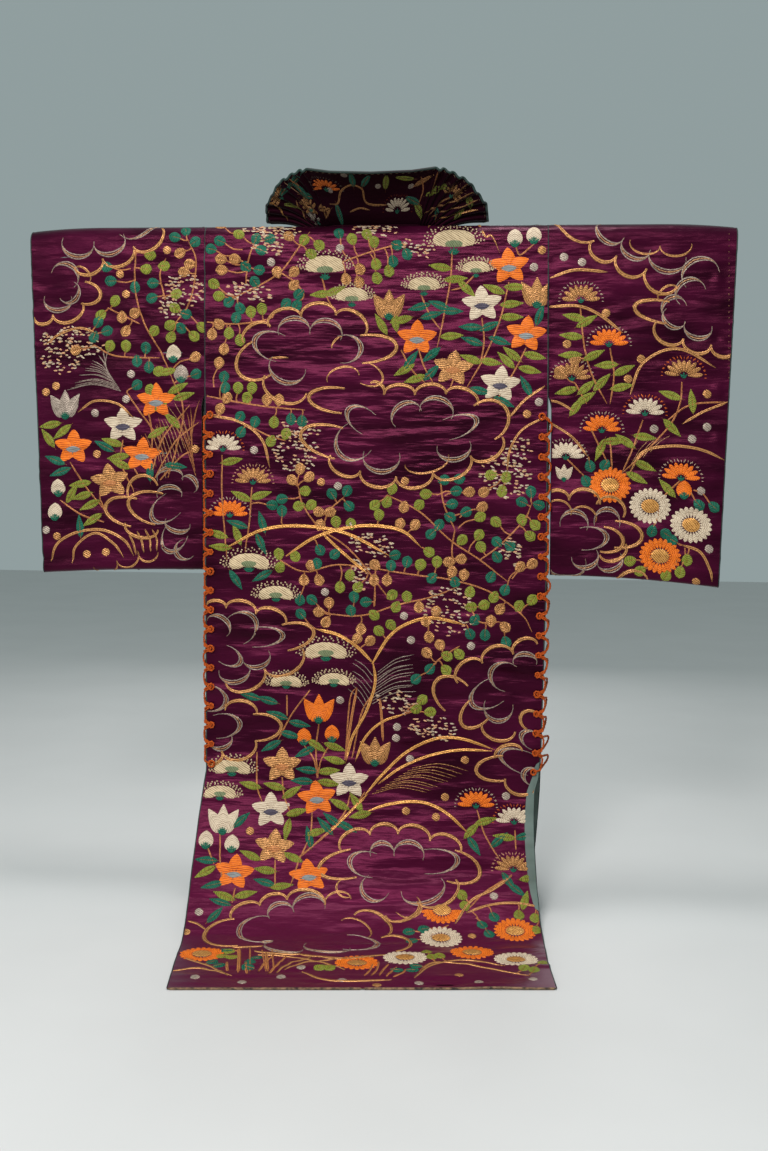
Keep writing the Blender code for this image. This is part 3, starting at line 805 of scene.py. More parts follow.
def side_bloom(work, centre, colour, size):
    """A bellflower seen from the side: three broad pointed petals over a green calyx."""
    base = centre + (0.0, 0.44 * size)
    for angle in (124, 56, 90):
        tip = base + heading(angle) * 0.94 * size
        work.leaf(base, tip, 0.50 * size, colour, 0.60, 0.88, 0.3, BLOOM_RISE)
    sepals(work, base, 0.005, (145, 115, 90, 65, 35), 0.22 * size, 0.10 * size)


def bud(work, centre, colour):
    base = centre + (0.0, 0.5 * BUD_SIZE)
    tip = centre - (0.0, 0.5 * BUD_SIZE)
    work.leaf(base, tip, 0.92 * BUD_SIZE, colour, 0.78, 0.56, 0.3, BLOOM_RISE)
    sepals(work, base, 0.003, (140, 112, 90, 68, 40), 0.40 * BUD_SIZE, 0.18 * BUD_SIZE)


def petal_fan(work, centre, colour, tuft, width):
    """A many-petalled flower seen from the side, with tufts at the petals' tips."""
    base = centre + (0.0, 0.20 * width)
    for angle in np.linspace(8.0, 172.0, FAN_PETALS):
        reach = width / 2 * (0.80 + 0.20 * abs(math.cos(math.radians(angle))))
        tip = base + heading(angle) * reach
        work.leaf(base + heading(angle) * 0.10 * width, tip, 0.12 * width, colour, 1.35, 0.6, 0.25)
        for ray in (angle - 9.0, angle, angle + 9.0):
            work.stitch(base + heading(ray) * (reach + TUFT_GAP), math.radians(ray), *TUFT_STITCH, tuft)
    sepals(work, base, 0.004, (150, 90, 30), 0.10 * width, 0.06 * width, BLOOM_RISE)


def chrysanthemum(work, centre, colour, first, last):
    """A round flower with a domed gold heart, and narrow petals between two angles."""
    width = CHRYSANTHEMUM_WIDTH
    for index in range(CHRYSANTHEMUM_PETALS):
        angle = 360.0 * (index + 0.5) / CHRYSANTHEMUM_PETALS
        if first <= angle <= last:
            ahead = heading(angle) * (1.0, 0.86)
            work.leaf(centre + ahead * 0.19 * width, centre + ahead * 0.5 * width, 0.115 * width, colour,
                      1.5, 0.5, 0.25)
    work.disc(centre, oval(0.23 * width, 0.185 * width), "violet", 0.0012)
    work.disc(centre, oval(0.21 * width, 0.165 * width), "bright_gold", 0.0014, slant=45.0, base=0.0008)


def umbel(work, centre, width, dent):
    """A domed head of tiny flowers: slanting stitches, a dotted fringe and a green calyx."""
    angles = np.linspace(0.0, 2 * math.pi, UMBEL_CORNERS, endpoint=False)
    sine = np.sin(angles)
    across = width / 2 * np.cos(angles)
    hollow = 1.0 - dent * np.exp(-(across / (0.20 * width)) ** 2)
    dome = -0.26 * width * np.abs(sine) ** 0.9
    bowl = 0.16 * width * np.abs(sine) ** 0.55 * hollow
    down = np.where(sine > 0.0, dome, bowl)
    ragged = 1.0 - 0.05 * (np.arange(UMBEL_CORNERS) % 2)
    across = across * ragged
    down = down * ragged
    work.disc(centre, np.stack((across, down), axis=-1), "cream", BELL_RISE, 6, 32.0)
    low = centre + (0.0, width * (0.07 - 0.09 * dent))
    work.disc(low, oval(0.24 * width, 0.09 * width), "sage", 0.0008, slant=55.0, base=0.0012)
    for row, scale in enumerate((1.07, 1.21, 1.35)):
        for index in range(FRINGE_DOTS):
            angle = 2 * math.pi * (index + 0.5 * row) / FRINGE_DOTS + work.chance.uniform(-0.05, 0.05)
            rise = math.sin(angle)
            if rise > -0.80 + 0.3 * row:
                half_height = (0.28 if rise > 0 else 0.15) * width
                place = np.array((width / 2 * math.cos(angle), -half_height * rise)) * scale
                work.stitch(centre + place, angle, *DOT_STITCH, "cream", DOTS_RISE)
    foot = centre + (0.0, width * (0.32 - 0.16 * dent))
    reach = np.array((0.15 * width, 0.17 * width))
    sepals(work, foot, 0.0, (150, 122, 90, 58, 30), reach, 0.06 * width, PETAL_RISE)


def dewdrop(work, centre, colour):
    work.disc(centre, oval(DEW_SIZE, DEW_SIZE, 18), colour, HEART_RISE, 4, 30.0)


def dashes(work, centre, half_width, half_height, count):
    """A cloud of tiny blossoms: short stitches in loose rows."""
    for _ in range(count):
        angle = work.chance.uniform(0.0, 2 * math.pi)
        reach = math.sqrt(work.chance.random())
        across = half_width * reach * math.cos(angle)
        row = round(half_height * reach * math.sin(angle) / DASH_ROWS) * DASH_ROWS
        place = centre + (across, row + 0.10 * across + work.chance.uniform(-DASH_STRAY, DASH_STRAY))
        colour = work.chance.choice(("white", "cream", "peach"))
        work.stitch(place, math.radians(work.chance.uniform(-35, 15)),
                    work.chance.uniform(*DASH_LENGTH), DASH_WIDTH, colour, PETAL_RISE)


def plume(work, low, high, first, last, lines, colour):
    """Pampas grass: fine curved lines from places along a stem to an arc of tips."""
    for index in range(lines):
        share = index / (lines - 1)
        root = low + (high - low) * share
        tip = first + (last - first) * share + work.chance.uniform(-0.004, 0.004, 2)
        middle = (root + tip) / 2 - (0.0, 0.10 * np.linalg.norm(tip - root))
        hair = smooth_path((root, middle, tip), HAIR_SPACING)
        work.ribbon(hair, HAIR_WIDTH, colour, HAIR_RISE, (0.9, 0.45))


def scallop(first, last, bulge, over):
    """Half an oval on a chord, bulging to the left of the way along; over curls its ends inwards."""
    chord = last - first
    out = np.array((chord[1], -chord[0])) * bulge
    turn = np.linspace(-over, math.pi + over, 15)[:, None]
    return (first + last) / 2 - chord / 2 * np.cos(turn) + out * np.sin(turn)


def scallops(work, kind, bulge, places):
    """A couched chain of scallops: a broad gold line, a thin one, or a sheaf of fine silver lines."""
    for start, end in zip(places[:-1], places[1:]):
        if kind == "broad":
            path = scallop(start, end, bulge, 0.12)
            work.ribbon(path, BROAD_LINE, "gold", OUTLINE_RISE, (0.42, 0.42), 0.38)
        elif kind == "thin":
            path = scallop(start, end, bulge, 0.12)
            work.ribbon(path, THIN_LINE, "gold", LINE_RISE, (0.42, 0.42), 0.38)
        else:
            spread = FINE_SPACING / np.linalg.norm(end - start)
            for line in (-1, 0, 1):
                path = scallop(start, end, bulge + line * spread, 0.30)
                colour = "peach_gold" if line == 0 else "silver"
                work.ribbon(path, FINE_LINE, colour, FINE_RISE, (0.5, 0.5), 0.3)


def nearest(place, paths):
    along = np.concatenate(paths)
    return along[np.argmin(((along - place) ** 2).sum(axis=1))]


def round_leaf(work, place, paths, colour):
    """A bush-clover leaf with its vein, on a twig from the nearest stem."""
    root = nearest(place, paths)
    away = place - root
    distance = max(np.linalg.norm(away), 1e-6)
    away = away / distance
    base = place - away * 0.5 * ROUND_LEAF
    if distance > 0.6 * ROUND_LEAF:
        start = root if distance < LONGEST_TWIG else place - away * LONGEST_TWIG
        side = np.array((away[1], -away[0])) * 0.08 * distance
        twig = smooth_path((start, (start + base) / 2 + side, base + away * 0.004), TWIG_SPACING)
        work.ribbon(twig, TWIG_WIDTH, "stem", HAIR_RISE, (1.0, 0.8))
    tip = place + away * 0.5 * ROUND_LEAF
    work.leaf(base, tip, 0.84 * ROUND_LEAF, colour, 1.15, 0.56, 0.60, LEAF_RISE)
    work.ribbon((base, place, place + away * 0.22 * ROUND_LEAF), ROUND_VEIN, "stem", PETAL_RISE)


def long_leaf(work, place, paths, colour):
    """A pointed leaf with its vein, standing out from the nearest stem."""
    root = nearest(place, paths)
    away = place - root
    away = away / max(np.linalg.norm(away), 1e-6) + (0.0, -0.25)
    away = away / np.linalg.norm(away) * 0.5 * LONG_LEAF
    work.leaf(place - away, place + away, 0.33 * LONG_LEAF, colour, 0.80, 1.1, 0.65, LEAF_RISE)
    work.ribbon((place - away * 1.15, place, place + away * 0.5), LONG_VEIN, "stem", PETAL_RISE)


# Layout, in the photograph's pixels; a colour comes with the places that have it

BROAD_LINE = 0.0078
THIN_LINE = 0.0042
FINE_LINE = 0.0022
FINE_SPACING = 0.0038
STEM_WIDTH = 0.0029
TWIG_WIDTH = 0.0026
HAIR_WIDTH = 0.0015
ROUND_VEIN = 0.0013
LONG_VEIN = 0.0011
ROUND_LEAF = 0.0240
LONG_LEAF = 0.046
LONGEST_TWIG = 0.045
DEW_SIZE = 0.0080
FLAT_UMBELS_ABOVE = 350
UMBEL_DENT = 0.85
UMBEL_CORNERS = 36
FRINGE_DOTS = 26
BELL_WIDTH = 0.079
BUD_SIZE = 0.031
FAN_WIDTH = 0.070
FAN_PETALS = 9
CHRYSANTHEMUM_WIDTH = 0.076
CHRYSANTHEMUM_PETALS = 22
BLOSSOM_DENSITY = 1.35
DASH_ROWS = 0.0065
DASH_STRAY = 0.0018
DASH_LENGTH = (0.0050, 0.0090)
DASH_WIDTH = 0.0029
CUFF_STITCH_X = 729
CUFF_STITCH_ROWS = (234, 584, 6)
# Length and width of single stitches
CUFF_STITCH = (0.0034, 0.0008)
HEART_STITCH = (0.0045, 0.0011)
TUFT_STITCH = (0.0045, 0.0013)
TUFT_GAP = 0.0035
DOT_STITCH = (0.0036, 0.0030)

# Cloud lines: kind, bulge as a share of the chord, then the points between scallops, clockwise
CLOUDS = {
    "sleeve_left": (
        ("broad", 0.36, (163, 229), (134, 248), (103, 260), (75, 268)),
        ("fine", 0.38, (155, 227), (125, 238), (94, 246), (62, 242)), ("thin", 0.3, (75, 268), (90, 281)),
        ("broad", 0.75, (87, 282), (83, 304)), ("broad", 0.38, (83, 304), (53, 316), (34, 318)),
        ("fine", 0.42, (53, 269), (77, 284), (62, 301)), ("fine", 0.36, (72, 300), (44, 300)),
        ("broad", 0.45, (128, 496), (157, 484)), ("broad", 0.95, (128, 526), (134, 498)),
        ("broad", 0.9, (152, 524), (160, 493)), ("broad", 0.3, (158, 531), (125, 524)),
        ("fine", 0.35, (157, 478), (183, 477), (196, 491)), ("fine", 0.3, (157, 495), (182, 494)),
        ("fine", 0.8, (176, 517), (161, 497)), ("fine", 0.3, (190, 527), (165, 521)),
        ("fine", 0.7, (186, 541), (164, 530)), ("fine", 0.5, (191, 558), (180, 541)),
        ("thin", 0.45, (158, 553), (138, 552), (117, 562), (94, 568)),
    ),
    "back": (
        ("broad", 0.66, (269, 376), (250, 343)), ("broad", 0.32, (243, 342), (270, 326)),
        ("broad", 0.34, (268, 325), (301, 316), (336, 314), (366, 333)),
        ("broad", 1.15, (364, 335), (366, 363)), ("thin", 0.8, (371, 364), (362, 384)),
        ("broad", 0.36, (306, 395), (264, 377)), ("fine", 0.75, (270, 360), (279, 333)),
        ("fine", 0.38, (278, 331), (310, 330), (342, 336)), ("fine", 0.6, (343, 335), (346, 363)),
        ("fine", 0.4, (305, 374), (270, 361)), ("thin", 0.2, (332, 348), (342, 337)),
        ("thin", 0.05, (269, 359), (288, 358)), ("thin", 0.32, (327, 381), (359, 374)),
        ("broad", 1.25, (338, 413), (341, 388)), ("broad", 1.12, (331, 458), (339, 427)),
        ("broad", 0.34, (503, 438), (471, 457), (433, 473), (396, 478), (360, 472), (330, 456)),
        ("broad", 0.58, (476, 404), (497, 438)),
        ("broad", 0.3, (371, 383), (384, 394), (415, 394), (446, 393), (478, 404)),
        ("fine", 0.8, (357, 431), (371, 411)), ("fine", 0.55, (367, 455), (343, 427)),
        ("fine", 0.4, (400, 458), (363, 456)), ("thin", 0.26, (449, 456), (405, 466)),
        ("fine", 0.36, (471, 445), (437, 450)), ("fine", 1.1, (450, 417), (457, 438)),
        ("fine", 0.38, (393, 424), (420, 407), (453, 415)),
        ("broad", 0.3, (206, 606), (226, 607), (256, 613), (286, 623)),
        ("broad", 1.0, (285, 624), (291, 650)), ("broad", 0.34, (303, 650), (265, 670), (226, 684)),
        ("fine", 0.35, (208, 618), (229, 634)), ("fine", 0.6, (230, 616), (249, 641)),
        ("fine", 1.2, (258, 627), (260, 647)), ("fine", 0.8, (231, 647), (223, 664)),
        ("fine", 0.36, (270, 654), (243, 661)), ("fine", 0.36, (250, 668), (219, 674)),
        ("broad", 0.32, (225, 709), (257, 713)), ("broad", 0.9, (256, 714), (258, 741)),
        ("broad", 0.36, (256, 742), (222, 752), (205, 762)), ("fine", 0.7, (210, 685), (206, 711)),
        ("fine", 0.8, (219, 714), (223, 738)), ("fine", 0.35, (232, 737), (210, 744)),
        ("broad", 0.7, (443, 709), (466, 684)),
        ("broad", 0.36, (457, 682), (482, 662), (513, 653), (537, 643)),
        ("broad", 0.8, (487, 720), (468, 702)), ("broad", 0.36, (515, 733), (482, 724)),
        ("broad", 0.6, (526, 729), (537, 713)), ("fine", 0.8, (498, 705), (484, 681)),
        ("fine", 0.55, (500, 690), (512, 664)), ("fine", 0.32, (513, 661), (537, 662)),
        ("fine", 0.5, (513, 709), (484, 705)), ("broad", 1.0, (503, 781), (500, 756)),
        ("broad", 0.3, (495, 757), (522, 750)), ("broad", 0.4, (537, 785), (505, 780)),
        ("fine", 1.1, (520, 773), (528, 752)), ("fine", 0.7, (528, 748), (537, 733)),
        ("fine", 0.6, (530, 785), (537, 769)), ("broad", 1.1, (353, 878), (347, 850)),
        ("broad", 0.34, (340, 849), (370, 834), (398, 833), (430, 840), (461, 851)),
        ("broad", 0.8, (458, 851), (450, 882)), ("broad", 0.32, (457, 881), (418, 903), (386, 917)),
        ("thin", 0.5, (418, 898), (397, 913)), ("thin", 0.5, (350, 897), (343, 879)),
        ("fine", 0.75, (366, 877), (371, 852)), ("fine", 0.5, (386, 897), (365, 878)),
        ("fine", 0.42, (370, 853), (394, 852), (424, 856)), ("fine", 1.05, (431, 849), (433, 874)),
        ("fine", 0.32, (444, 882), (402, 896)), ("broad", 0.62, (234, 946), (231, 919)),
        ("broad", 0.04, (262, 946), (233, 947)),
        ("broad", 0.32, (231, 918), (260, 905), (287, 899), (325, 904)),
        ("thin", 0.32, (325, 903), (351, 898)), ("broad", 0.36, (355, 914), (389, 934)),
        ("broad", 0.6, (383, 937), (398, 951)), ("thin", 0.34, (342, 920), (369, 937)),
        ("fine", 0.8, (355, 935), (351, 950)),
        ("broad", 0.05, (385, 955), (345, 958), (300, 954), (255, 951)),
        ("fine", 0.58, (262, 942), (262, 916)), ("fine", 0.05, (273, 941), (261, 942)),
        ("fine", 0.4, (268, 916), (293, 909), (325, 905)), ("fine", 0.26, (350, 950), (304, 945)),
        ("fine", 0.26, (302, 951), (265, 944)),
    ),
    "sleeve_right": (
        ("broad", 0.38, (735, 350), (711, 346), (683, 340), (655, 324)),
        ("broad", 1.35, (662, 323), (666, 301)), ("thin", 0.35, (659, 301), (678, 288)),
        ("broad", 0.4, (676, 288), (646, 270), (616, 257), (591, 242), (572, 224)),
        ("fine", 0.36, (686, 262), (649, 254), (622, 241), (598, 225)),
        ("thin", 0.32, (692, 245), (660, 247), (630, 241)), ("fine", 0.4, (683, 283), (718, 267)),
        ("fine", 0.42, (677, 301), (704, 285)), ("fine", 0.44, (663, 315), (685, 302)),
        ("fine", 0.38, (712, 330), (684, 325), (664, 311)),
        ("broad", 0.38, (545, 499), (569, 499), (600, 503)), ("broad", 0.42, (597, 503), (624, 516)),
        ("thin", 0.42, (546, 508), (571, 514), (596, 521)), ("fine", 0.45, (560, 522), (588, 526)),
        ("fine", 0.5, (594, 521), (620, 523)), ("broad", 0.9, (618, 521), (617, 548)),
        ("broad", 0.75, (606, 527), (602, 552)), ("fine", 0.85, (586, 527), (588, 550)),
        ("broad", 0.36, (626, 545), (600, 556)), ("fine", 0.36, (622, 556), (598, 566)),
        ("fine", 0.4, (598, 553), (572, 561)), ("fine", 0.42, (586, 564), (547, 562)),
        ("broad", 0.4, (589, 583), (617, 580), (647, 578)),
    ),
}

STEMS = {
    "sleeve_left": (
        ((136, 250), (135, 280), (137, 300), (145, 325), (160, 350), (172, 378)),
        ((108, 308), (122, 315), (140, 324)), ((94, 345), (116, 356), (160, 358)),
        ((165, 300), (160, 275), (166, 258)), ((176, 322), (190, 300), (196, 262), (188, 240)),
        ((127, 392), (140, 412), (160, 440)), ((103, 508), (86, 487), (70, 462)),
        ((104, 522), (82, 515), (60, 500)), ((104, 510), (100, 495), (108, 484)),
        ((123, 440), (121, 462), (134, 492)), ((172, 378), (183, 410), (176, 450), (168, 478)),
        ((150, 478), (163, 438), (190, 405)), ((155, 478), (175, 442), (199, 422)),
        ((150, 470), (152, 436), (147, 402)), ((160, 480), (182, 456), (200, 448)),
        ((140, 478), (134, 468)),
    ),
    "back": (
        ((235, 297), (260, 285), (280, 272), (297, 250), (310, 232)), ((246, 284), (248, 262), (254, 244)),
        ((280, 272), (296, 283), (304, 294)), ((342, 262), (370, 252), (402, 243)),
        ((207, 322), (232, 324), (255, 322), (272, 318)), ((207, 396), (237, 402), (270, 407), (305, 410)),
        ((207, 413), (240, 422), (267, 435), (286, 441)), ((322, 278), (327, 297), (332, 306)),
        ((452, 251), (451, 275), (447, 300), (441, 330), (437, 348)), ((421, 295), (430, 315), (441, 330)),
        ((474, 276), (462, 287), (451, 290)), ((401, 350), (412, 370), (425, 383)),
        ((418, 348), (424, 366), (433, 383)), ((454, 378), (450, 388)),
        ((509, 282), (500, 320), (485, 356), (467, 387)), ((482, 318), (484, 342), (480, 366)),
        ((526, 348), (515, 370), (497, 400)), ((516, 246), (520, 255), (534, 244)),
        ((222, 455), (222, 495), (227, 560)), ((252, 487), (249, 525), (245, 552)),
        ((320, 530), (303, 505), (298, 486)), ((322, 528), (330, 510), (344, 497)),
        ((310, 572), (335, 565), (365, 567)), ((322, 530), (352, 552), (390, 600)),
        ((280, 560), (297, 570), (310, 572)), ((376, 560), (375, 585), (375, 606)),
        ((387, 495), (420, 512), (450, 540), (480, 560), (508, 582)), ((440, 478), (444, 505), (455, 530)),
        ((455, 530), (452, 548), (453, 562)), ((480, 560), (500, 545), (524, 520), (532, 503)),
        ((365, 567), (415, 575), (452, 580), (490, 592), (522, 615), (532, 632)),
        ((330, 614), (352, 616), (370, 614), (397, 605), (432, 597), (457, 587)),
        ((436, 662), (445, 655), (460, 646)), ((470, 607), (480, 622), (500, 622)),
        ((319, 724), (316, 748), (318, 778)), ((304, 745), (314, 760), (317, 778)),
        ((332, 742), (322, 758), (317, 778)), ((282, 777), (284, 795), (290, 812)),
        ((350, 795), (345, 812), (330, 830), (302, 856)), ((312, 812), (310, 835), (299, 860), (290, 887)),
        ((275, 860), (275, 888)), ((220, 832), (220, 858), (222, 880)), ((207, 846), (214, 864)),
        ((257, 752), (257, 785), (262, 802)), ((310, 690), (292, 714), (278, 740)),
        ((287, 695), (287, 716)), ((235, 888), (232, 903)),
        ((365, 792), (350, 812), (330, 832), (297, 858)), ((477, 810), (485, 835), (500, 860)),
        ((515, 830), (516, 850)), ((512, 875), (485, 892), (467, 910)),
        ((345, 760), (350, 700), (357, 687)), ((352, 758), (362, 712), (376, 690)),
        ((375, 590), (374, 607)), ((239, 950), (238, 970)), ((250, 948), (250, 972)),
        ((262, 950), (266, 972)), ((272, 950), (274, 971)),
    ),
    "sleeve_right": (
        ((580, 305), (584, 345), (592, 375), (607, 404)), ((610, 348), (614, 375), (610, 404)),
        ((575, 383), (587, 404)), ((682, 382), (680, 402), (670, 425), (642, 455), (622, 473)),
        ((610, 437), (612, 470)), ((590, 427), (607, 462)), ((643, 420), (632, 450), (622, 473)),
        ((566, 458), (582, 474)), ((681, 480), (668, 492), (660, 500)),
        ((668, 420), (690, 405), (725, 402)),
    ),
}

ROUND_LEAVES = {
    "sleeve_left": {
        "leaf": (
            (150, 255), (146, 269), (164, 266), (176, 294), (175, 308), (170, 325), (154, 331), (171, 337),
            (115, 301), (101, 315), (110, 346), (126, 346), (202, 327), (194, 336), (150, 390), (159, 371),
        ),
        "teal": (
            (175, 237), (186, 231), (195, 242), (107, 267), (111, 281), (135, 287), (153, 283), (152, 298),
            (186, 314), (181, 328), (98, 322), (107, 331), (94, 337), (146, 348), (137, 361), (149, 367),
            (137, 385), (196, 374),
        ),
        "gold": (
            (135, 313), (122, 317), (126, 331), (180, 253), (184, 272), (76, 350), (195, 357), (190, 264),
        ),
    },
    "back": {
        "leaf": (
            (239, 234), (304, 240), (319, 245), (311, 254), (214, 284), (219, 296), (352, 239), (367, 234),
            (374, 242), (376, 264), (377, 278), (389, 271), (262, 309), (251, 312), (229, 333), (240, 340),
            (238, 388), (252, 388), (247, 398), (274, 422), (286, 434), (271, 441), (305, 491), (299, 506),
            (311, 505), (336, 522), (351, 524), (375, 505), (387, 502), (379, 515), (279, 554), (295, 556),
            (280, 567), (350, 575), (340, 587), (358, 587), (419, 505), (426, 494), (392, 489), (480, 517),
            (496, 522), (479, 535), (481, 547), (462, 540), (491, 475), (506, 477), (502, 491), (522, 520),
            (535, 525), (530, 536), (429, 552), (420, 565), (437, 562), (392, 595), (407, 597), (396, 607),
            (374, 615), (391, 625), (379, 631), (494, 597), (532, 600), (519, 606), (421, 565), (470, 592),
            (471, 607), (484, 605), (447, 656), (459, 654), (446, 670), (416, 709), (430, 712), (422, 700),
            (462, 895), (465, 906), (519, 915), (535, 918), (536, 930), (320, 967), (330, 967), (427, 952),
            (440, 956), (222, 956), (232, 957), (229, 951), (543, 963), (524, 968), (534, 970), (432, 957),
        ),
        "teal": (
            (220, 241), (211, 249), (256, 239), (270, 239), (261, 250), (246, 267), (259, 270), (255, 282),
            (299, 294), (286, 304), (297, 305), (337, 225), (339, 233), (229, 302), (240, 308), (236, 318),
            (397, 245), (407, 254), (393, 261), (224, 377), (225, 388), (240, 417), (255, 422), (291, 419),
            (302, 421), (241, 432), (282, 499), (282, 511), (272, 505), (332, 494), (347, 491), (349, 506),
            (320, 550), (335, 554), (317, 564), (395, 555), (444, 480), (459, 479), (456, 491), (452, 504),
            (450, 517), (466, 512), (439, 525), (431, 534), (531, 492), (522, 502), (539, 505), (510, 546),
            (497, 542), (497, 557), (407, 562), (391, 566), (432, 578), (455, 582), (491, 577), (505, 590),
            (354, 597), (366, 602), (351, 611), (300, 600), (312, 600), (301, 614), (475, 620), (470, 634),
            (485, 635), (506, 642), (430, 669), (416, 679), (482, 925), (494, 917), (489, 934), (424, 929),
            (409, 932), (412, 941), (397, 970), (412, 970), (227, 950), (219, 965), (212, 962), (250, 962),
            (256, 958), (248, 967), (416, 966),
        ),
        "gold": (
            (221, 227), (221, 259), (235, 259), (222, 270), (289, 236), (277, 272), (294, 272), (294, 285),
            (360, 269), (346, 279), (359, 282), (219, 324), (212, 334), (224, 349), (219, 363), (267, 400),
            (279, 400), (227, 398), (220, 409), (300, 469), (292, 480), (309, 477), (319, 512), (330, 512),
            (320, 525), (311, 566), (304, 580), (319, 580), (375, 565), (374, 580), (387, 580), (404, 507),
            (400, 524), (415, 525), (469, 492), (484, 492), (482, 507), (461, 559), (449, 562), (452, 572),
            (464, 575), (532, 564), (520, 567), (319, 612), (329, 603), (326, 622), (361, 629), (357, 639),
            (370, 641), (419, 607), (436, 612), (426, 621), (500, 609), (491, 621), (505, 627), (429, 637),
            (440, 645), (427, 653),
        ),
    },
    "sleeve_right": {
        "leaf": ((630, 561), (640, 571), (666, 576), (680, 572), (687, 560)),
        "teal": (
            (590, 466), (605, 465), (586, 481), (652, 531), (666, 534), (672, 540), (699, 505), (714, 507),
        ),
        "gold": ((575, 360), (560, 372)),
    },
}

LONG_LEAVES = {
    "sleeve_left": {
        "leaf": (
            (50, 425), (62, 432), (48, 438), (80, 484), (82, 496), (90, 505), (72, 493), (112, 442),
            (118, 457), (120, 464), (165, 372), (178, 388), (184, 396), (172, 420), (160, 405), (158, 432),
            (92, 520),
        ),
        "teal": ((55, 460), (60, 472), (80, 526), (104, 446), (150, 470), (176, 466)),
    },
    "back": {
        "leaf": (
            (440, 267), (456, 279), (467, 289), (452, 336), (321, 294), (335, 291), (494, 289), (516, 287),
            (512, 304), (512, 317), (395, 320), (381, 324), (401, 320), (471, 359), (491, 362), (512, 354),
            (535, 356), (506, 360), (530, 370), (404, 370), (415, 379), (241, 496), (261, 495), (217, 534),
            (237, 534), (220, 547), (232, 461), (317, 746), (335, 747), (334, 760), (329, 771), (329, 783),
            (274, 786), (250, 785), (292, 792), (297, 812), (287, 830), (339, 804), (356, 802), (360, 815),
            (317, 832), (205, 872), (250, 855), (292, 857), (265, 870), (282, 886), (224, 896), (246, 894),
            (472, 830), (504, 837), (486, 821), (525, 900), (531, 878),
        ),
        "teal": (
            (419, 307), (439, 305), (432, 315), (452, 311), (470, 327), (472, 341), (490, 326), (500, 341),
            (540, 314), (411, 360), (431, 355), (432, 372), (481, 391), (526, 386), (504, 402), (237, 524),
            (262, 522), (261, 544), (262, 576), (236, 580), (300, 724), (277, 715), (291, 735), (305, 752),
            (250, 696), (267, 700), (271, 746), (307, 770), (302, 781), (241, 820), (206, 860), (264, 882),
            (212, 885), (220, 902), (215, 915), (332, 820), (325, 826), (309, 837), (347, 827), (474, 846),
            (509, 882), (517, 890), (499, 840), (526, 836),
        ),
    },
    "sleeve_right": {
        "leaf": (
            (574, 317), (587, 321), (571, 336), (570, 355), (594, 355), (606, 365), (624, 370), (602, 382),
            (587, 387), (566, 391), (586, 398), (622, 387), (670, 395), (692, 401), (577, 406), (645, 437),
            (625, 441), (615, 441), (672, 428), (600, 450), (645, 466), (637, 478), (667, 488),
        ),
    },
}

# X, y, colour
BELLFLOWERS = {
    "sleeve_left": (
        (156, 401, "orange"), (123, 425, "white"), (73, 447, "orange"), (142, 455, "orange"),
        (110, 481, "gold"),
    ),
    "back": (
        (509, 266, "orange"), (482, 304, "white"), (417, 338, "orange"), (526, 334, "orange"),
        (453, 368, "gold"), (500, 384, "white"), (282, 765, "gold"), (349, 781, "white"),
        (317, 798, "orange"), (271, 810, "white"), (274, 847, "gold"), (234, 873, "orange"),
        (309, 876, "orange"),
    ),
}
# X, y, colour, height in metres
SIDE_BLOOMS = {
    "sleeve_left": ((65, 404, "silver", 0.054),),
    "back": (
        (389, 304, "gold", 0.055), (537, 292, "gold", 0.055), (319, 708, "orange", 0.055),
        (375, 751, "gold", 0.055), (223, 819, "white", 0.055),
    ),
    "sleeve_right": ((564, 472, "white", 0.03),),
}
BUDS = {
    "sleeve_left": ((58, 487, "white"), (55, 511, "white"), (174, 353, "white"), (181, 373, "silver")),
    "back": (
        (515, 237, "white"), (534, 234, "white"), (304, 736, "orange"), (332, 733, "orange"),
        (206, 839, "white"), (232, 843, "white"),
    ),
    "sleeve_right": ((684, 489, "orange"),),
}
# X, y, petals, tufts
FANS = {
    "back": (
        (223, 442, "white", "orange"), (253, 475, "gold", "peach"), (230, 508, "orange", "white"),
        (476, 799, "orange", "white"), (514, 815, "white", "orange"), (513, 863, "gold", "peach"),
    ),
    "sleeve_right": (
        (581, 293, "gold", "white"), (609, 337, "orange", "white"), (572, 371, "gold", "white"),
        (684, 368, "gold", "orange"), (645, 406, "white", "orange"), (602, 423, "orange", "white"),
        (566, 450, "white", "white"), (681, 471, "orange", "white"),
    ),
}
# X, y, colour, first and last angle of the petals that show
CHRYSANTHEMUMS = {
    "back": (
        (442, 910, "orange", 180, 360), (441, 938, "white", 0, 360), (515, 931, "orange", 0, 360),
        (472, 952, "orange", 0, 360), (405, 957, "white", 0, 360), (516, 960, "white", 0, 360),
        (357, 963, "orange", 0, 360), (202, 954, "orange", 0, 360),
    ),
    "sleeve_right": (
        (610, 485, "orange", 0, 360), (650, 506, "white", 0, 360), (691, 525, "white", 0, 360),
        (660, 556, "orange", 0, 360),
    ),
}
# X, y, width in metres
UMBELS = {
    "back": (
        (325, 266, 0.076), (352, 296, 0.062), (454, 240, 0.08), (424, 285, 0.06), (476, 268, 0.052),
        (249, 564, 0.08), (276, 595, 0.068), (326, 653, 0.082), (286, 683, 0.062), (334, 681, 0.06),
        (232, 769, 0.072), (220, 794, 0.062),
    ),
}
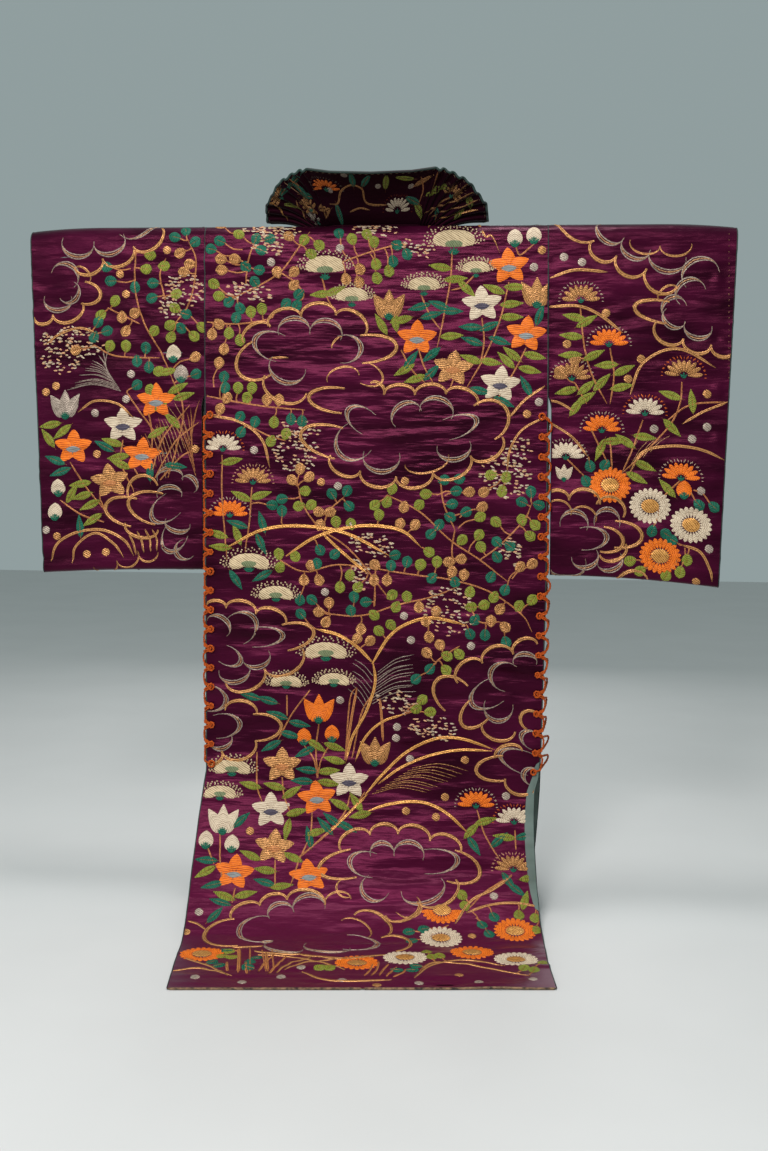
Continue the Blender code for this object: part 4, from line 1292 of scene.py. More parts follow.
# X, y, half width, half height, stitches
BLOSSOMS = {
    "sleeve_left": (
        (186, 290, 20, 16, 70), (170, 306, 12, 10, 26), (72, 342, 32, 16, 80), (60, 360, 20, 12, 34),
    ),
    "back": (
        (270, 230, 30, 8, 60), (268, 246, 16, 10, 36), (250, 292, 24, 10, 50), (375, 228, 24, 8, 44),
        (415, 248, 20, 8, 30), (295, 452, 24, 20, 70), (300, 428, 20, 8, 24), (506, 476, 26, 22, 90),
        (520, 450, 14, 14, 24), (511, 552, 12, 14, 26), (372, 545, 22, 12, 50), (360, 575, 10, 18, 32),
        (450, 610, 26, 24, 80), (396, 702, 22, 11, 44), (432, 728, 26, 12, 50),
    ),
}
# Stem from and to, first and last tip, lines, colour
PLUMES = {
    "sleeve_left": (
        ((121, 391), (104, 365), (69, 389), (109, 346), 19, "silver"),
        ((166, 478), (190, 440), (150, 432), (172, 404), 10, "peach_gold"),
        ((196, 476), (190, 436), (172, 424), (200, 402), 9, "stem"),
        ((150, 476), (166, 452), (138, 440), (160, 418), 6, "stem"),
    ),
    "back": (
        ((372, 704), (378, 672), (414, 690), (412, 656), 11, "silver"),
        ((368, 712), (373, 676), (350, 688), (354, 660), 7, "silver"),
        ((372, 794), (412, 768), (425, 792), (466, 772), 10, "gold"),
    ),
    "sleeve_right": (((622, 474), (650, 452), (640, 440), (668, 436), 5, "peach_gold"),),
}
# Colour, width, points
BLADES = {
    "sleeve_left": (
        ("gold", 0.0045, ((78, 412), (95, 401), (118, 404), (134, 418))),
        ("gold", 0.006, ((51, 561), (58, 543), (78, 532), (103, 530), (124, 540), (134, 556))),
        ("gold", 0.005, ((72, 563), (76, 546), (95, 533), (113, 543), (124, 558))),
        ("gold", 0.0045, ((45, 345), (60, 334), (80, 328), (98, 334))),
        ("gold", 0.004, ((129, 534), (134, 545), (136, 555))),
        ("gold", 0.004, ((137, 531), (142, 542), (144, 553))),
        ("gold", 0.004, ((145, 529), (150, 540), (151, 552))),
        ("gold", 0.0035, ((152, 529), (157, 540), (157, 551))),
    ),
    "back": (
        ("gold", 0.006, ((428, 228), (455, 223), (480, 226), (492, 236), (500, 253))),
        ("gold", 0.0055, ((208, 415), (240, 422), (262, 440), (270, 468))),
        ("gold", 0.005, ((545, 386), (525, 400), (509, 418))),
        ("gold", 0.0045, ((545, 417), (522, 430), (510, 450), (507, 473))),
        ("bright_gold", 0.007, ((228, 547), (262, 530), (300, 526), (345, 533), (390, 556))),
        ("bright_gold", 0.007, ((286, 556), (318, 536), (360, 526), (400, 530), (422, 548))),
        ("bright_gold", 0.006, ((322, 533), (342, 552), (368, 574))),
        ("bright_gold", 0.007, ((372, 662), (356, 646), (338, 635), (316, 629))),
        ("bright_gold", 0.007, ((372, 664), (389, 637), (407, 624), (432, 618), (466, 625))),
        ("bright_gold", 0.006, ((373, 662), (375, 684), (366, 712), (352, 738), (346, 762))),
        ("stem", 0.005, ((380, 698), (382, 722), (383, 742))),
        ("stem", 0.005, ((357, 688), (352, 715), (345, 760))),
        ("bright_gold", 0.005, ((405, 714), (382, 722), (365, 738), (355, 762))),
        ("bright_gold", 0.0065, ((365, 795), (385, 772), (407, 752), (435, 739), (462, 739), (495, 750))),
        ("bright_gold", 0.0055, ((378, 784), (402, 767), (432, 755), (462, 750), (492, 751))),
        ("bright_gold", 0.0065, ((368, 811), (390, 804), (420, 802), (445, 812), (468, 833))),
        ("bright_gold", 0.005, ((330, 832), (350, 812), (368, 794))),
        ("gold", 0.006, ((466, 913), (490, 905), (515, 903), (541, 907))),
        ("gold", 0.0055, ((455, 924), (470, 902), (492, 890), (512, 876))),
        ("gold", 0.0055, ((414, 978), (432, 965), (466, 960), (505, 966))),
        ("gold", 0.0055, ((302, 972), (322, 979), (352, 981), (392, 980))),
        ("gold", 0.005, ((258, 955), (290, 957), (320, 962), (345, 970))),
        ("gold", 0.0045, ((188, 921), (198, 924), (206, 930))),
        ("gold", 0.0045, ((171, 971), (200, 968), (232, 976))),
        ("gold", 0.004, ((184, 958), (212, 967), (228, 976))),
        ("stem", 0.007, ((239, 948), (239, 960), (238, 973))),
        ("stem", 0.005, ((227, 962), (227, 967), (228, 971))),
        ("stem", 0.005, ((246, 962), (246, 968), (247, 974))),
        ("stem", 0.0055, ((266, 952), (267, 962), (268, 972))),
        ("stem", 0.0045, ((258, 972), (266, 962), (276, 953))),
        ("stem", 0.0045, ((268, 974), (278, 964), (287, 955))),
        ("gold", 0.0045, ((276, 973), (292, 962), (312, 957))),
        ("gold", 0.004, ((284, 970), (306, 962), (340, 958))),
        ("gold", 0.004, ((300, 954), (340, 959), (372, 957))),
        ("gold", 0.0045, ((414, 978), (440, 962), (530, 976))),
        ("stem", 0.004, ((364, 976), (370, 970), (373, 964))),
        ("stem", 0.004, ((371, 976), (377, 969), (379, 961))),
        ("stem", 0.004, ((379, 976), (383, 970), (389, 964))),
        ("stem", 0.004, ((386, 977), (392, 971), (397, 967))),
        ("stem", 0.004, ((393, 977), (400, 974), (406, 970))),
    ),
    "sleeve_right": (
        ("gold", 0.0055, ((550, 278), (575, 270), (608, 272))),
        ("gold", 0.006, ((547, 307), (578, 306), (600, 315), (623, 333))),
        ("gold", 0.0055, ((630, 395), (640, 367), (660, 352), (684, 350), (716, 368))),
        ("gold", 0.0045, ((547, 400), (560, 403), (575, 412))),
        ("gold", 0.0045, ((547, 421), (572, 437), (588, 457))),
        ("gold", 0.0055, ((630, 472), (643, 452), (672, 446), (702, 450), (726, 461))),
        ("gold", 0.0045, ((728, 402), (703, 412), (682, 424))),
        ("gold", 0.0055, ((682, 545), (700, 552), (710, 570), (712, 582))),
    ),
}
DEW = {
    "sleeve_left": (
        (167, 250), (120, 274), (126, 294), (131, 374), (46, 392), (56, 386), (95, 413), (126, 399),
        (97, 454), (195, 449), (87, 554), (106, 552), (46, 530), (57, 536),
    ),
    "back": (
        (542, 250), (534, 267), (271, 262), (340, 248), (539, 402), (527, 414), (254, 450), (321, 482),
        (338, 486), (250, 831), (340, 700), (397, 727), (396, 738), (445, 797), (406, 811), (436, 817),
        (506, 796), (325, 592), (411, 640), (471, 646), (404, 616), (410, 759), (465, 760), (472, 936),
        (494, 896), (199, 912), (242, 982), (377, 985), (479, 982), (459, 975), (350, 525), (405, 481),
        (195, 977), (281, 977), (342, 980), (419, 983), (533, 979), (186, 932), (301, 967),
    ),
    "sleeve_right": (
        (564, 257), (582, 262), (606, 313), (567, 344), (641, 359), (628, 379), (707, 394), (707, 427),
        (692, 439), (654, 429), (701, 491), (709, 549), (696, 582),
    ),
}
# X, y, then half length, half width, height and tilt in metres
CREASES = {
    "sleeve_left": (
        (120, 412, 0.11, 0.008, 0.0024, 0.03), (110, 421, 0.11, 0.007, -0.002, 0.02),
        (90, 445, 0.08, 0.007, 0.002, -0.02), (150, 452, 0.08, 0.007, -0.0018, 0.04),
        (110, 564, 0.12, 0.008, 0.0022, 0.02), (120, 573, 0.12, 0.008, -0.002, 0.02),
        (52, 285, 0.04, 0.009, -0.0024, -0.15), (185, 300, 0.05, 0.007, 0.0016, 0.1),
    ),
    "back": (
        (262, 631, 0.095, 0.007, 0.0026, 0.01), (262, 641, 0.095, 0.007, -0.0022, 0.01),
        (258, 657, 0.095, 0.008, 0.0024, -0.03), (262, 668, 0.09, 0.007, -0.0018, -0.02),
        (506, 664, 0.065, 0.008, 0.0026, 0.05), (506, 675, 0.06, 0.007, -0.002, 0.05),
        (343, 697, 0.03, 0.006, 0.0018, 0.0), (269, 255, 0.035, 0.007, 0.0018, 0.04),
        (390, 405, 0.03, 0.006, 0.0016, 0.0), (380, 560, 0.12, 0.009, -0.0016, 0.02),
        (300, 520, 0.09, 0.007, 0.0014, -0.03), (470, 470, 0.09, 0.008, -0.0016, 0.03),
        (440, 330, 0.1, 0.009, 0.0014, -0.02), (300, 760, 0.12, 0.009, 0.0018, 0.02),
        (450, 800, 0.11, 0.009, -0.0018, 0.02), (300, 835, 0.13, 0.008, 0.0018, 0.02),
    ),
    "sleeve_right": (
        (640, 421, 0.11, 0.008, 0.0024, -0.03), (650, 436, 0.11, 0.008, -0.0022, -0.02),
        (600, 300, 0.07, 0.008, 0.0018, -0.06), (690, 300, 0.06, 0.008, -0.0018, 0.05),
        (630, 530, 0.1, 0.008, 0.0018, -0.03), (640, 575, 0.1, 0.007, -0.0018, -0.02),
        (718, 280, 0.014, 0.01, 0.0018, 0.1), (718, 335, 0.014, 0.01, -0.0018, 0.05),
        (717, 390, 0.014, 0.01, 0.0018, -0.05), (717, 440, 0.014, 0.01, 0.0016, 0.1),
    ),
}
CREASE_DEPTH = 1.5
SCATTERED = {"sleeve_left": 190, "back": 520, "sleeve_right": 190, "front": 110}
SCATTERED_BELOW = 0.05
SCATTERED_LENGTH = (0.03, 0.10)
SCATTERED_WIDTH = (0.005, 0.010)
SCATTERED_HEIGHT = (0.0009, 0.0025)
SCATTERED_TILT = (-0.14, 0.14)
# Puckers beside the seams: from, to and pitch down the cloth, then their ranges
PUCKERS = (0.05, 0.32, 0.021)
PUCKER_STRAY = 0.004
PUCKER_LENGTH = (0.010, 0.026)
PUCKER_WIDTH = (0.004, 0.006)
PUCKER_HEIGHT = (0.0006, 0.0020)
EDGE_FADE = 0.04


def creased(sheet, name, seed, folds=()):
    """The sheet with its largest folds, the listed creases, and fine scattered ones."""
    creases = list(folds)
    for x, y, half_length, half_width, height, tilt in CREASES.get(name, ()):
        creases.append((*sheet.spot(x, y), half_length, half_width, CREASE_DEPTH * height, tilt))
    chance = np.random.default_rng(seed)
    for _ in range(SCATTERED[name]):
        creases.append((chance.uniform(sheet.across.min(), sheet.across.max()),
                        chance.uniform(SCATTERED_BELOW, sheet.stops[-1]),
                        chance.uniform(*SCATTERED_LENGTH), chance.uniform(*SCATTERED_WIDTH),
                        chance.choice((-1.0, 1.0)) * chance.uniform(*SCATTERED_HEIGHT),
                        chance.uniform(*SCATTERED_TILT)))
    for down in np.arange(*PUCKERS):
        for edge in (sheet.across.min(), sheet.across.max()):
            creases.append((edge, down + chance.uniform(-PUCKER_STRAY, PUCKER_STRAY),
                            chance.uniform(*PUCKER_LENGTH), chance.uniform(*PUCKER_WIDTH),
                            chance.uniform(*PUCKER_HEIGHT), 0.0))
    fade = smooth(sheet.stops / EDGE_FADE)
    if name.startswith("sleeve"):
        fade = fade * smooth((SLEEVE_DOWN - sheet.stops) / EDGE_FADE)
    return sheet.raised(crease_height(sheet, creases) * fade[:, None])


def body_folds(face):
    return [(middle, down, half_length, half_width, height, 0.0)
            for side, down, middle, half_length, half_width, height in FOLDS if side == face]


def lay(name, work, sheet, mirror=False):
    """Embroidery on a sheet; what falls beyond the sheet's edges is left out."""
    chart = np.concatenate(work.points)
    across = -chart[:, 0] if mirror else chart[:, 0]
    points, normals, inside = sheet.place(across, chart[:, 1], chart[:, 2], EDGE_MARGIN)
    faces = np.concatenate(work.faces)
    kept = inside[faces].any(axis=1)
    faces = faces[kept]
    corners = points[faces]
    facing = np.cross(corners[:, 2] - corners[:, 0], corners[:, 3] - corners[:, 1])
    turned = (facing * normals[faces[:, 0]]).sum(axis=1) < 0.0
    faces[turned] = faces[turned][:, ::-1]
    used, fresh = np.unique(faces, return_inverse=True)
    finishes, slots = np.unique(np.array(work.colours)[kept], return_inverse=True)
    threads = np.concatenate(work.threads)[used]
    return add_mesh(name, points[used], fresh.reshape(-1, 4), list(finishes),
                    slots.astype(np.int32), threads)


# The collar

NECK_LIFT = 0.0021
COLLAR_MIDDLE = -0.004
PLEATS = 8
PLEAT_BASE = 0.0010
PLEAT_TOP = 0.0030
COLLAR_BOW = 0.010
COLLAR_END = 2.60
COLLAR_DEPTH = 0.110
COLLAR_STEPS = 190
# Place along the half, neck beside the middle, neck down the front, then the top edge's x, y and z
COLLAR_HALF = (
    (0.00, 0.0000, 0.0020, 0.0000, -0.0850, 1.3352),
    (0.60, 0.0480, 0.0020, 0.0720, -0.0870, 1.3370),
    (1.00, 0.0780, 0.0030, 0.1120, -0.0840, 1.3430),
    (1.30, 0.0850, 0.0070, 0.1360, -0.0700, 1.3400),
    (1.70, 0.0915, 0.0140, 0.1700, -0.0440, 1.3270),
    (2.20, 0.0950, 0.0220, 0.2010, 0.0060, 1.2960),
    (2.60, 0.0965, 0.0300, 0.2040, 0.0400, 1.2700),
)


def collar_sheet():
    """The collar's outer face from its top edge down: a smooth panel between two fans of pleats."""
    fine = np.linspace(0.0, COLLAR_END, 400)
    tops = np.stack([look_up(COLLAR_HALF, fine, index) for index in (3, 4, 5)], axis=-1)
    run = path_run(tops)
    along = np.linspace(-run[-1], run[-1], 2 * COLLAR_STEPS + 1)
    place = np.interp(np.abs(along), run, fine)
    side = np.sign(along)
    neck_down = look_up(COLLAR_HALF, place, 2)
    base = body_points(1, COLLAR_MIDDLE + side * look_up(COLLAR_HALF, place, 1), neck_down)
    angle = neck_down / RIDGE_RADIUS
    base += NECK_LIFT * np.stack((0.0 * angle, np.sin(angle), np.cos(angle)), axis=-1)
    top = np.stack((COLLAR_MIDDLE + side * look_up(COLLAR_HALF, place, 3), look_up(COLLAR_HALF, place, 4),
                    look_up(COLLAR_HALF, place, 5)), axis=-1)
    stops = np.linspace(0.0, COLLAR_DEPTH, 17)
    upward = (1.0 - stops / COLLAR_DEPTH)[:, None]
    points = base + (top - base) * upward[..., None]
    points[..., 2] += COLLAR_BOW * np.sin(math.pi * upward)
    across = np.broadcast_to(along, upward.shape[:1] + along.shape).copy()
    smooth_collar = Sheet(-1, stops, across, points)
    fold = np.maximum(place - 1.0, 0.0) / (COLLAR_END - 1.0) * 2 * PLEATS
    wave = -np.cos(math.pi * fold)
    pleat = np.sign(wave) * np.abs(wave) ** 0.8 * smooth(fold)
    return smooth_collar.raised(pleat * (PLEAT_BASE + (PLEAT_TOP - PLEAT_BASE) * upward))


# X, y, petals, tufts
COLLAR_FLOWERS = (
    (324, 184, "orange", "white"), (398, 204, "white", "orange"), (302, 174, "silver", "gold"),
    (456, 192, "gold", "peach"), (306, 204, "gold", "gold"), (276, 196, "gold", "teal"),
)
COLLAR_LEAVES = {
    "leaf": (
        (386, 181), (404, 178), (433, 190), (293, 205), (443, 186), (460, 212), (470, 204), (420, 212),
    ),
    "teal": (
        (300, 190), (292, 184), (308, 196), (284, 190), (366, 180), (352, 179), (296, 178), (437, 214),
        (340, 216), (412, 200),
    ),
    "gold": ((306, 206), (312, 212), (322, 208), (326, 214), (424, 180)),
}
COLLAR_BLADES = (
    ("bright_gold", 0.0045, ((263, 206), (272, 203), (281, 210), (288, 221))),
    ("gold", 0.005, ((330, 204), (338, 203), (341, 191), (351, 185), (362, 189), (367, 203), (390, 205))),
    ("gold", 0.004, ((350, 212), (360, 208), (370, 210))),
    ("bright_gold", 0.004, ((478, 210), (455, 214), (436, 221))),
    ("gold", 0.004, ((470, 182), (452, 196), (428, 216))),
    ("gold", 0.004, ((296, 200), (303, 212), (308, 221))),
    ("gold", 0.004, ((288, 178), (300, 190), (312, 214))),
    ("stem", 0.0035, ((421, 176), (423, 190), (418, 206))),
    ("stem", 0.0035, ((438, 172), (434, 184), (430, 196))),
    ("gold", 0.004, ((474, 192), (450, 202), (424, 214))),
    ("gold", 0.004, ((478, 200), (455, 208), (430, 218))),
    ("peach", 0.0025, ((284, 182), (292, 188), (300, 194))),
)
COLLAR_FAN_WIDTH = 0.062
# The row of stitches under the top edge
TOP_ROW_DOWN = 0.0045
TOP_ROW_PITCH = 0.011
TOP_ROW_STITCH = (0.0050, 0.0016)
TOP_ROW_RISE = 0.0012
COLLAR_HALF_THICKNESS = 0.0006
COLLAR_EDGING_RADIUS = 0.0022
COLLAR_ROLL_RADIUS = 0.0023
COLLAR_DEW = ((411, 186), (378, 186), (344, 175), (330, 190))


# The lacing

CORD_RADIUS = 0.0022
LACE_TOP_Z = 0.915
LACE_PITCH = 0.036
LACE_STITCHES = 18
KNOT_INSET = 0.010
CORD_OFF_FACE = 0.0031
CORD_OFF_EDGE = 0.0031
AT_EDGE = 0.08
ROUND_EDGE = 0.18
CAUGHT = 0.50
LOOP_HALF = 0.12
LOOP_BESIDE_SLEEVE = 0.0034
LOOP_BELOW_SLEEVE = 0.0080
LAST_LOOPS = 2
LAST_LOOP = 0.0130
KNOT_RADIUS = 0.0050
KNOT_TURN = 2.3 * math.pi
KNOT_LIFT = 0.0006
KNOT_POINTS = 30
CORD_STEP = 0.0019
SCALLOP_LIFT = 0.001
# Reach of the running scallops past the left and the right edge, least and most
SCALLOP_OUT = {-1: (0.002, 0.005), 1: (0.003, 0.008)}


def down_at_height(z):
    on_curve = LEAVE_DOWN + np.interp(LEAVE_Z - z, LEAVE_Z - CURVE_Z, CURVE_DOWN)
    return RIDGE_QUARTER + BAR_Z - z if z >= LEAVE_Z else on_curve


def lace_point(sheet, side, z, beside, off_face):
    """A point beside a panel's side edge, positive outwards, and off its face."""
    down = np.array([down_at_height(z)])
    edge = np.interp(down, sheet.stops, sheet.across[:, 0 if side < 0 else -1])
    inward = min(beside, 0.0)
    points, _, _ = sheet.place(edge + side * inward, down, np.array([off_face]), 0.0)
    return points[0] + np.array((side * max(beside, 0.0), 0.0, 0.0))


def lacing_route(side, back, front):
    route = []
    knots = []
    for stitch in range(LACE_STITCHES + 1):
        z = LACE_TOP_Z - stitch * LACE_PITCH
        knots.append(lace_point(back, side, z, -KNOT_INSET, CORD_OFF_FACE))
        route.append(knots[-1])
        if stitch == LACE_STITCHES:
            break
        beside_sleeve = z > RIDGE_Z - SLEEVE_HEIGHT - LACE_PITCH / 2
        loop = LOOP_BESIDE_SLEEVE if beside_sleeve else LOOP_BELOW_SLEEVE
        if stitch >= LACE_STITCHES - LAST_LOOPS:
            loop = LAST_LOOP
        route += [
            lace_point(back, side, z - AT_EDGE * LACE_PITCH, 0.0, CORD_OFF_FACE),
            lace_point(back, side, z - ROUND_EDGE * LACE_PITCH, CORD_OFF_EDGE, 0.0),
            lace_point(front, side, z - (CAUGHT - LOOP_HALF) * LACE_PITCH, loop, 0.0),
            lace_point(front, side, z - (CAUGHT + LOOP_HALF) * LACE_PITCH, loop, 0.0),
            lace_point(back, side, z - (1.0 - ROUND_EDGE) * LACE_PITCH, CORD_OFF_EDGE, 0.0),
            lace_point(back, side, z - (1.0 - AT_EDGE) * LACE_PITCH, 0.0, CORD_OFF_FACE),
        ]
    return np.array(route), np.array(knots)


def lacing(name, side, back, front, seed):
    """The cord, its running scallops, and a small curled knot at each stitch on the back."""
    chance = np.random.default_rng(seed)
    route, knots = lacing_route(side, back, front)
    paths = [smooth_path(route, CORD_STEP)]
    low, high = SCALLOP_OUT[side]
    beside = []
    for stitch in range(LACE_STITCHES):
        z = LACE_TOP_Z - stitch * LACE_PITCH
        out = chance.uniform(low, high)
        beside += [lace_point(back, side, z, -KNOT_INSET, CORD_OFF_FACE + SCALLOP_LIFT),
                   lace_point(back, side, z - 0.25 * LACE_PITCH, 0.6 * out, SCALLOP_LIFT),
                   lace_point(back, side, z - 0.50 * LACE_PITCH, out, 0.0),
                   lace_point(back, side, z - 0.78 * LACE_PITCH, 0.5 * out, SCALLOP_LIFT)]
    paths.append(smooth_path(beside, CORD_STEP))
    for knot in knots:
        turn = np.linspace(0.0, KNOT_TURN, KNOT_POINTS) + chance.uniform(0.0, 2 * math.pi)
        size = KNOT_RADIUS * chance.uniform(0.8, 1.15)
        out = -np.linspace(KNOT_LIFT, KNOT_LIFT + CORD_RADIUS, KNOT_POINTS)
        paths.append(knot + np.stack((size * np.cos(turn) * 0.9, out, size * np.sin(turn)), axis=-1))
    return tubes(name, paths, CORD_RADIUS, "cord", twisted)


# Building the pieces

SHEETS = {
    "back": creased(back_sheet(), "back", 11, body_folds(-1)),
    "front_left": creased(front_sheet(-1), "front", 12, body_folds(1)),
    "front_right": creased(front_sheet(1), "front", 13, body_folds(1)),
    "sleeve_left": creased(sleeve_sheet("sleeve_left", -1), "sleeve_left", 14),
    "sleeve_right": creased(sleeve_sheet("sleeve_right", -1), "sleeve_right", 15),
    "sleeve_left_front": creased(sleeve_sheet("sleeve_left", 1), "sleeve_left", 16),
    "sleeve_right_front": creased(sleeve_sheet("sleeve_right", 1), "sleeve_right", 17),
    "collar": collar_sheet(),
}
EDGING_RADIUS = 0.0013
EDGING_IN = 0.0008
HEM_RADIUS = 0.0020
HEM_IN = 0.0010
CUFF_RADIUS = 0.0012
CUFF_IN = 0.0006
RIDGE_EDGING_IN = 0.0004
SLEEVE_INSIDE_IN = 0.0016
ROLL_FROM = 0.985
ROLL_TO = 1.27
ROLL_WIDTH = 0.016


def inset(sheet, distance):
    return sheet.points - sheet.normals * distance


def coarser_inset(sheet, distance):
    """Every other row and column of the sheet moved in, with the last ones kept."""
    rows, columns = [[*range(0, count - 1, 2), count - 1] for count in sheet.points.shape[:2]]
    return inset(sheet, distance)[np.ix_(rows, columns)]


def laid_strip(sheet, across, down, lift):
    """A grid of points over a sheet, at places across and down and lifts above it."""
    down = np.broadcast_to(down, across.shape)
    points, _, _ = sheet.place(across.ravel(), down.ravel(), lift.ravel(), 0.0)
    return points.reshape(*across.shape, 3)


def body_cloth(side, word):
    back = SHEETS["back"]
    front = SHEETS["front_" + word]
    half = slice(0, STRIP_COLUMNS + 1) if side < 0 else slice(STRIP_COLUMNS, None)
    satin = cloth_mesh("satin_" + word, ((-1, back.points[:, half]), (1, front.points)), "satin")
    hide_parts("body_" + word)
    strip = Sheet(-1, back.stops, back.across[:, half], back.points[:, half])
    inner = cloth_mesh("lining_shell_" + word, ((1, coarser_inset(strip, LINING_IN)),
                                                (-1, coarser_inset(front, LINING_IN))), "lining")
    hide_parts("lining_" + word)
    edge = 0 if side < 0 else -1
    front_inset = inset(front, EDGING_IN)
    paths = [inset(back, EDGING_IN)[:, edge], front_inset[:, edge], front_inset[-1]]
    trim = tubes("edging_" + word, paths, EDGING_RADIUS, "edging")
    hem = tubes("hem_" + word, [inset(back, HEM_IN)[-1, half]], HEM_RADIUS, "worn_hem")


def rolled_lining():
    """The lining rolled out over the edge of the right slit, widest in the middle of its length."""
    sheet = SHEETS["back"]
    share = np.linspace(0.0, 1.0, 60)[:, None]
    down = ROLL_FROM + (ROLL_TO - ROLL_FROM) * share
    width = ROLL_WIDTH * np.sin(math.pi * share) ** 0.35 + 0.0004
    part = np.linspace(0.0, 1.0, 7)[None, :]
    edge = np.interp(down, sheet.stops, sheet.across[:, -1]) - 0.0002
    across = edge - width * (1.0 - part)
    lift = 0.0004 + 0.0011 * np.sin(math.pi * np.clip(part, 0.02, 0.9)) ** 0.5 + 0.0 * down
    roll = cloth_mesh("rolled_lining", ((-1, laid_strip(sheet, across, down, lift)),), "lining")


def sleeve_cloth(side, word):
    back = SHEETS["sleeve_" + word]
    front = SHEETS["sleeve_" + word + "_front"]
    satin = cloth_mesh("sleeve_satin_" + word, ((-1, back.points), (1, front.points)), "satin")
    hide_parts("sleeve_" + word)
    inner = cloth_mesh("sleeve_inside_" + word, ((1, coarser_inset(back, SLEEVE_INSIDE_IN)),
                                                 (-1, coarser_inset(front, SLEEVE_INSIDE_IN))), "lining")
    cuff = 0 if side < 0 else -1
    ridge = back.points[0] - (0.0, 0.0, RIDGE_EDGING_IN)
    paths = [inset(back, CUFF_IN)[:, cuff], inset(front, CUFF_IN)[:, cuff], ridge]
    trim = tubes("cuff_edging_" + word, paths, CUFF_RADIUS, "edging")


def front_band(side, word):
    sheet = SHEETS["front_" + word]
    stops = sheet.stops[sheet.stops >= BAND_START][:, None]
    part = np.linspace(0.0, 1.0, 9)[None, :]
    if side < 0:
        part = part[:, ::-1]
    across = side * (look_up(FRONT_OPENING, stops, 1) + BAND_WIDTH * part)
    lift = BAND_OUT * (0.35 + 0.65 * np.sin(math.pi * np.clip(part, 0.06, 0.94)) ** 0.4) + 0.0 * stops
    band = cloth_mesh("band_" + word, ((1, laid_strip(sheet, across, stops, lift)),), "satin")
    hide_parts("front_band_" + word)


def standing_collar():
    sheet = SHEETS["collar"]
    # The collar's satin and the roll at its base have the darker finish: painted shade
    cloth = cloth_mesh("collar_satin", ((-1, inset(sheet, -COLLAR_HALF_THICKNESS)),), "collar_satin")
    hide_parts("collar")
    inside = cloth_mesh("collar_inside", ((1, inset(sheet, COLLAR_HALF_THICKNESS)),), "lining")
    ends = [sheet.points[0], sheet.points[:, 0], sheet.points[:, -1]]
    trim = tubes("collar_edging", ends, COLLAR_EDGING_RADIUS, "edging")
    roll = tubes("collar_roll", [sheet.points[-1]], COLLAR_ROLL_RADIUS, "collar_satin")


def embroider(name, seed):
    """The motifs of one sheet: couched lines, leaves and flowers, each in a piece of its own."""
    sheet = SHEETS[name]
    couching = Needlework(seed)
    leaves = Needlework(seed + 1)
    flowers = Needlework(seed + 2)
    for kind, bulge, *places in CLOUDS[name]:
        scallops(couching, kind, bulge, sheet.spots(places))
    paths = [smooth_path(sheet.spots(stem), LINE_SPACING) for stem in STEMS[name]]
    for path in paths:
        couching.ribbon(path, STEM_WIDTH, "stem", LINE_RISE, (0.8, 0.5))
    for colour, width, points in BLADES[name]:
        paths.append(smooth_path(sheet.spots(points), LINE_SPACING))
        couching.ribbon(paths[-1], width, colour, BLADE_RISE, (0.35, 0.15))
    for *places, lines, colour in PLUMES.get(name, ()):
        plume(couching, *sheet.spots(places), lines, colour)
    for colour, places in ROUND_LEAVES[name].items():
        for place in sheet.spots(places):
            round_leaf(leaves, place, paths, colour)
    for colour, places in LONG_LEAVES[name].items():
        for place in sheet.spots(places):
            long_leaf(leaves, place, paths, colour)
    if name == "sleeve_right":
        for y in range(*CUFF_STITCH_ROWS):
            flowers.stitch(sheet.spot(CUFF_STITCH_X, y), math.pi / 2, *CUFF_STITCH, "peach_gold")
    for x, y in DEW[name]:
        colour = "silver" if flowers.chance.random() < 0.6 else "gold"
        dewdrop(flowers, sheet.spot(x, y), colour)
    for x, y, half_width, half_height, count in BLOSSOMS.get(name, ()):
        size = sheet.spot(x + half_width, y + half_height) - sheet.spot(x, y)
        dashes(flowers, sheet.spot(x, y), *size, int(BLOSSOM_DENSITY * count))
    for x, y, colour in BELLFLOWERS.get(name, ()):
        bellflower(flowers, sheet.spot(x, y), colour, flowers.chance.uniform(-9.0, 9.0))
    for x, y, colour, size in SIDE_BLOOMS.get(name, ()):
        side_bloom(flowers, sheet.spot(x, y), colour, size)
    for x, y, colour in BUDS.get(name, ()):
        bud(flowers, sheet.spot(x, y), colour)
    for x, y, petals, tufts in FANS.get(name, ()):
        petal_fan(flowers, sheet.spot(x, y), petals, tufts, FAN_WIDTH)
    for x, y, colour, first, last in CHRYSANTHEMUMS.get(name, ()):
        chrysanthemum(flowers, sheet.spot(x, y), colour, first, last)
    for x, y, width in UMBELS.get(name, ()):
        umbel(flowers, sheet.spot(x, y), width, 0.0 if y < FLAT_UMBELS_ABOVE else UMBEL_DENT)
    return {"couching": couching, "leaves": leaves, "flowers": flowers}


def lay_all(works, sheet_name, mirror=False):
    for kind, work in works.items():
        piece = lay(kind + "_" + sheet_name, work, SHEETS[sheet_name], mirror)


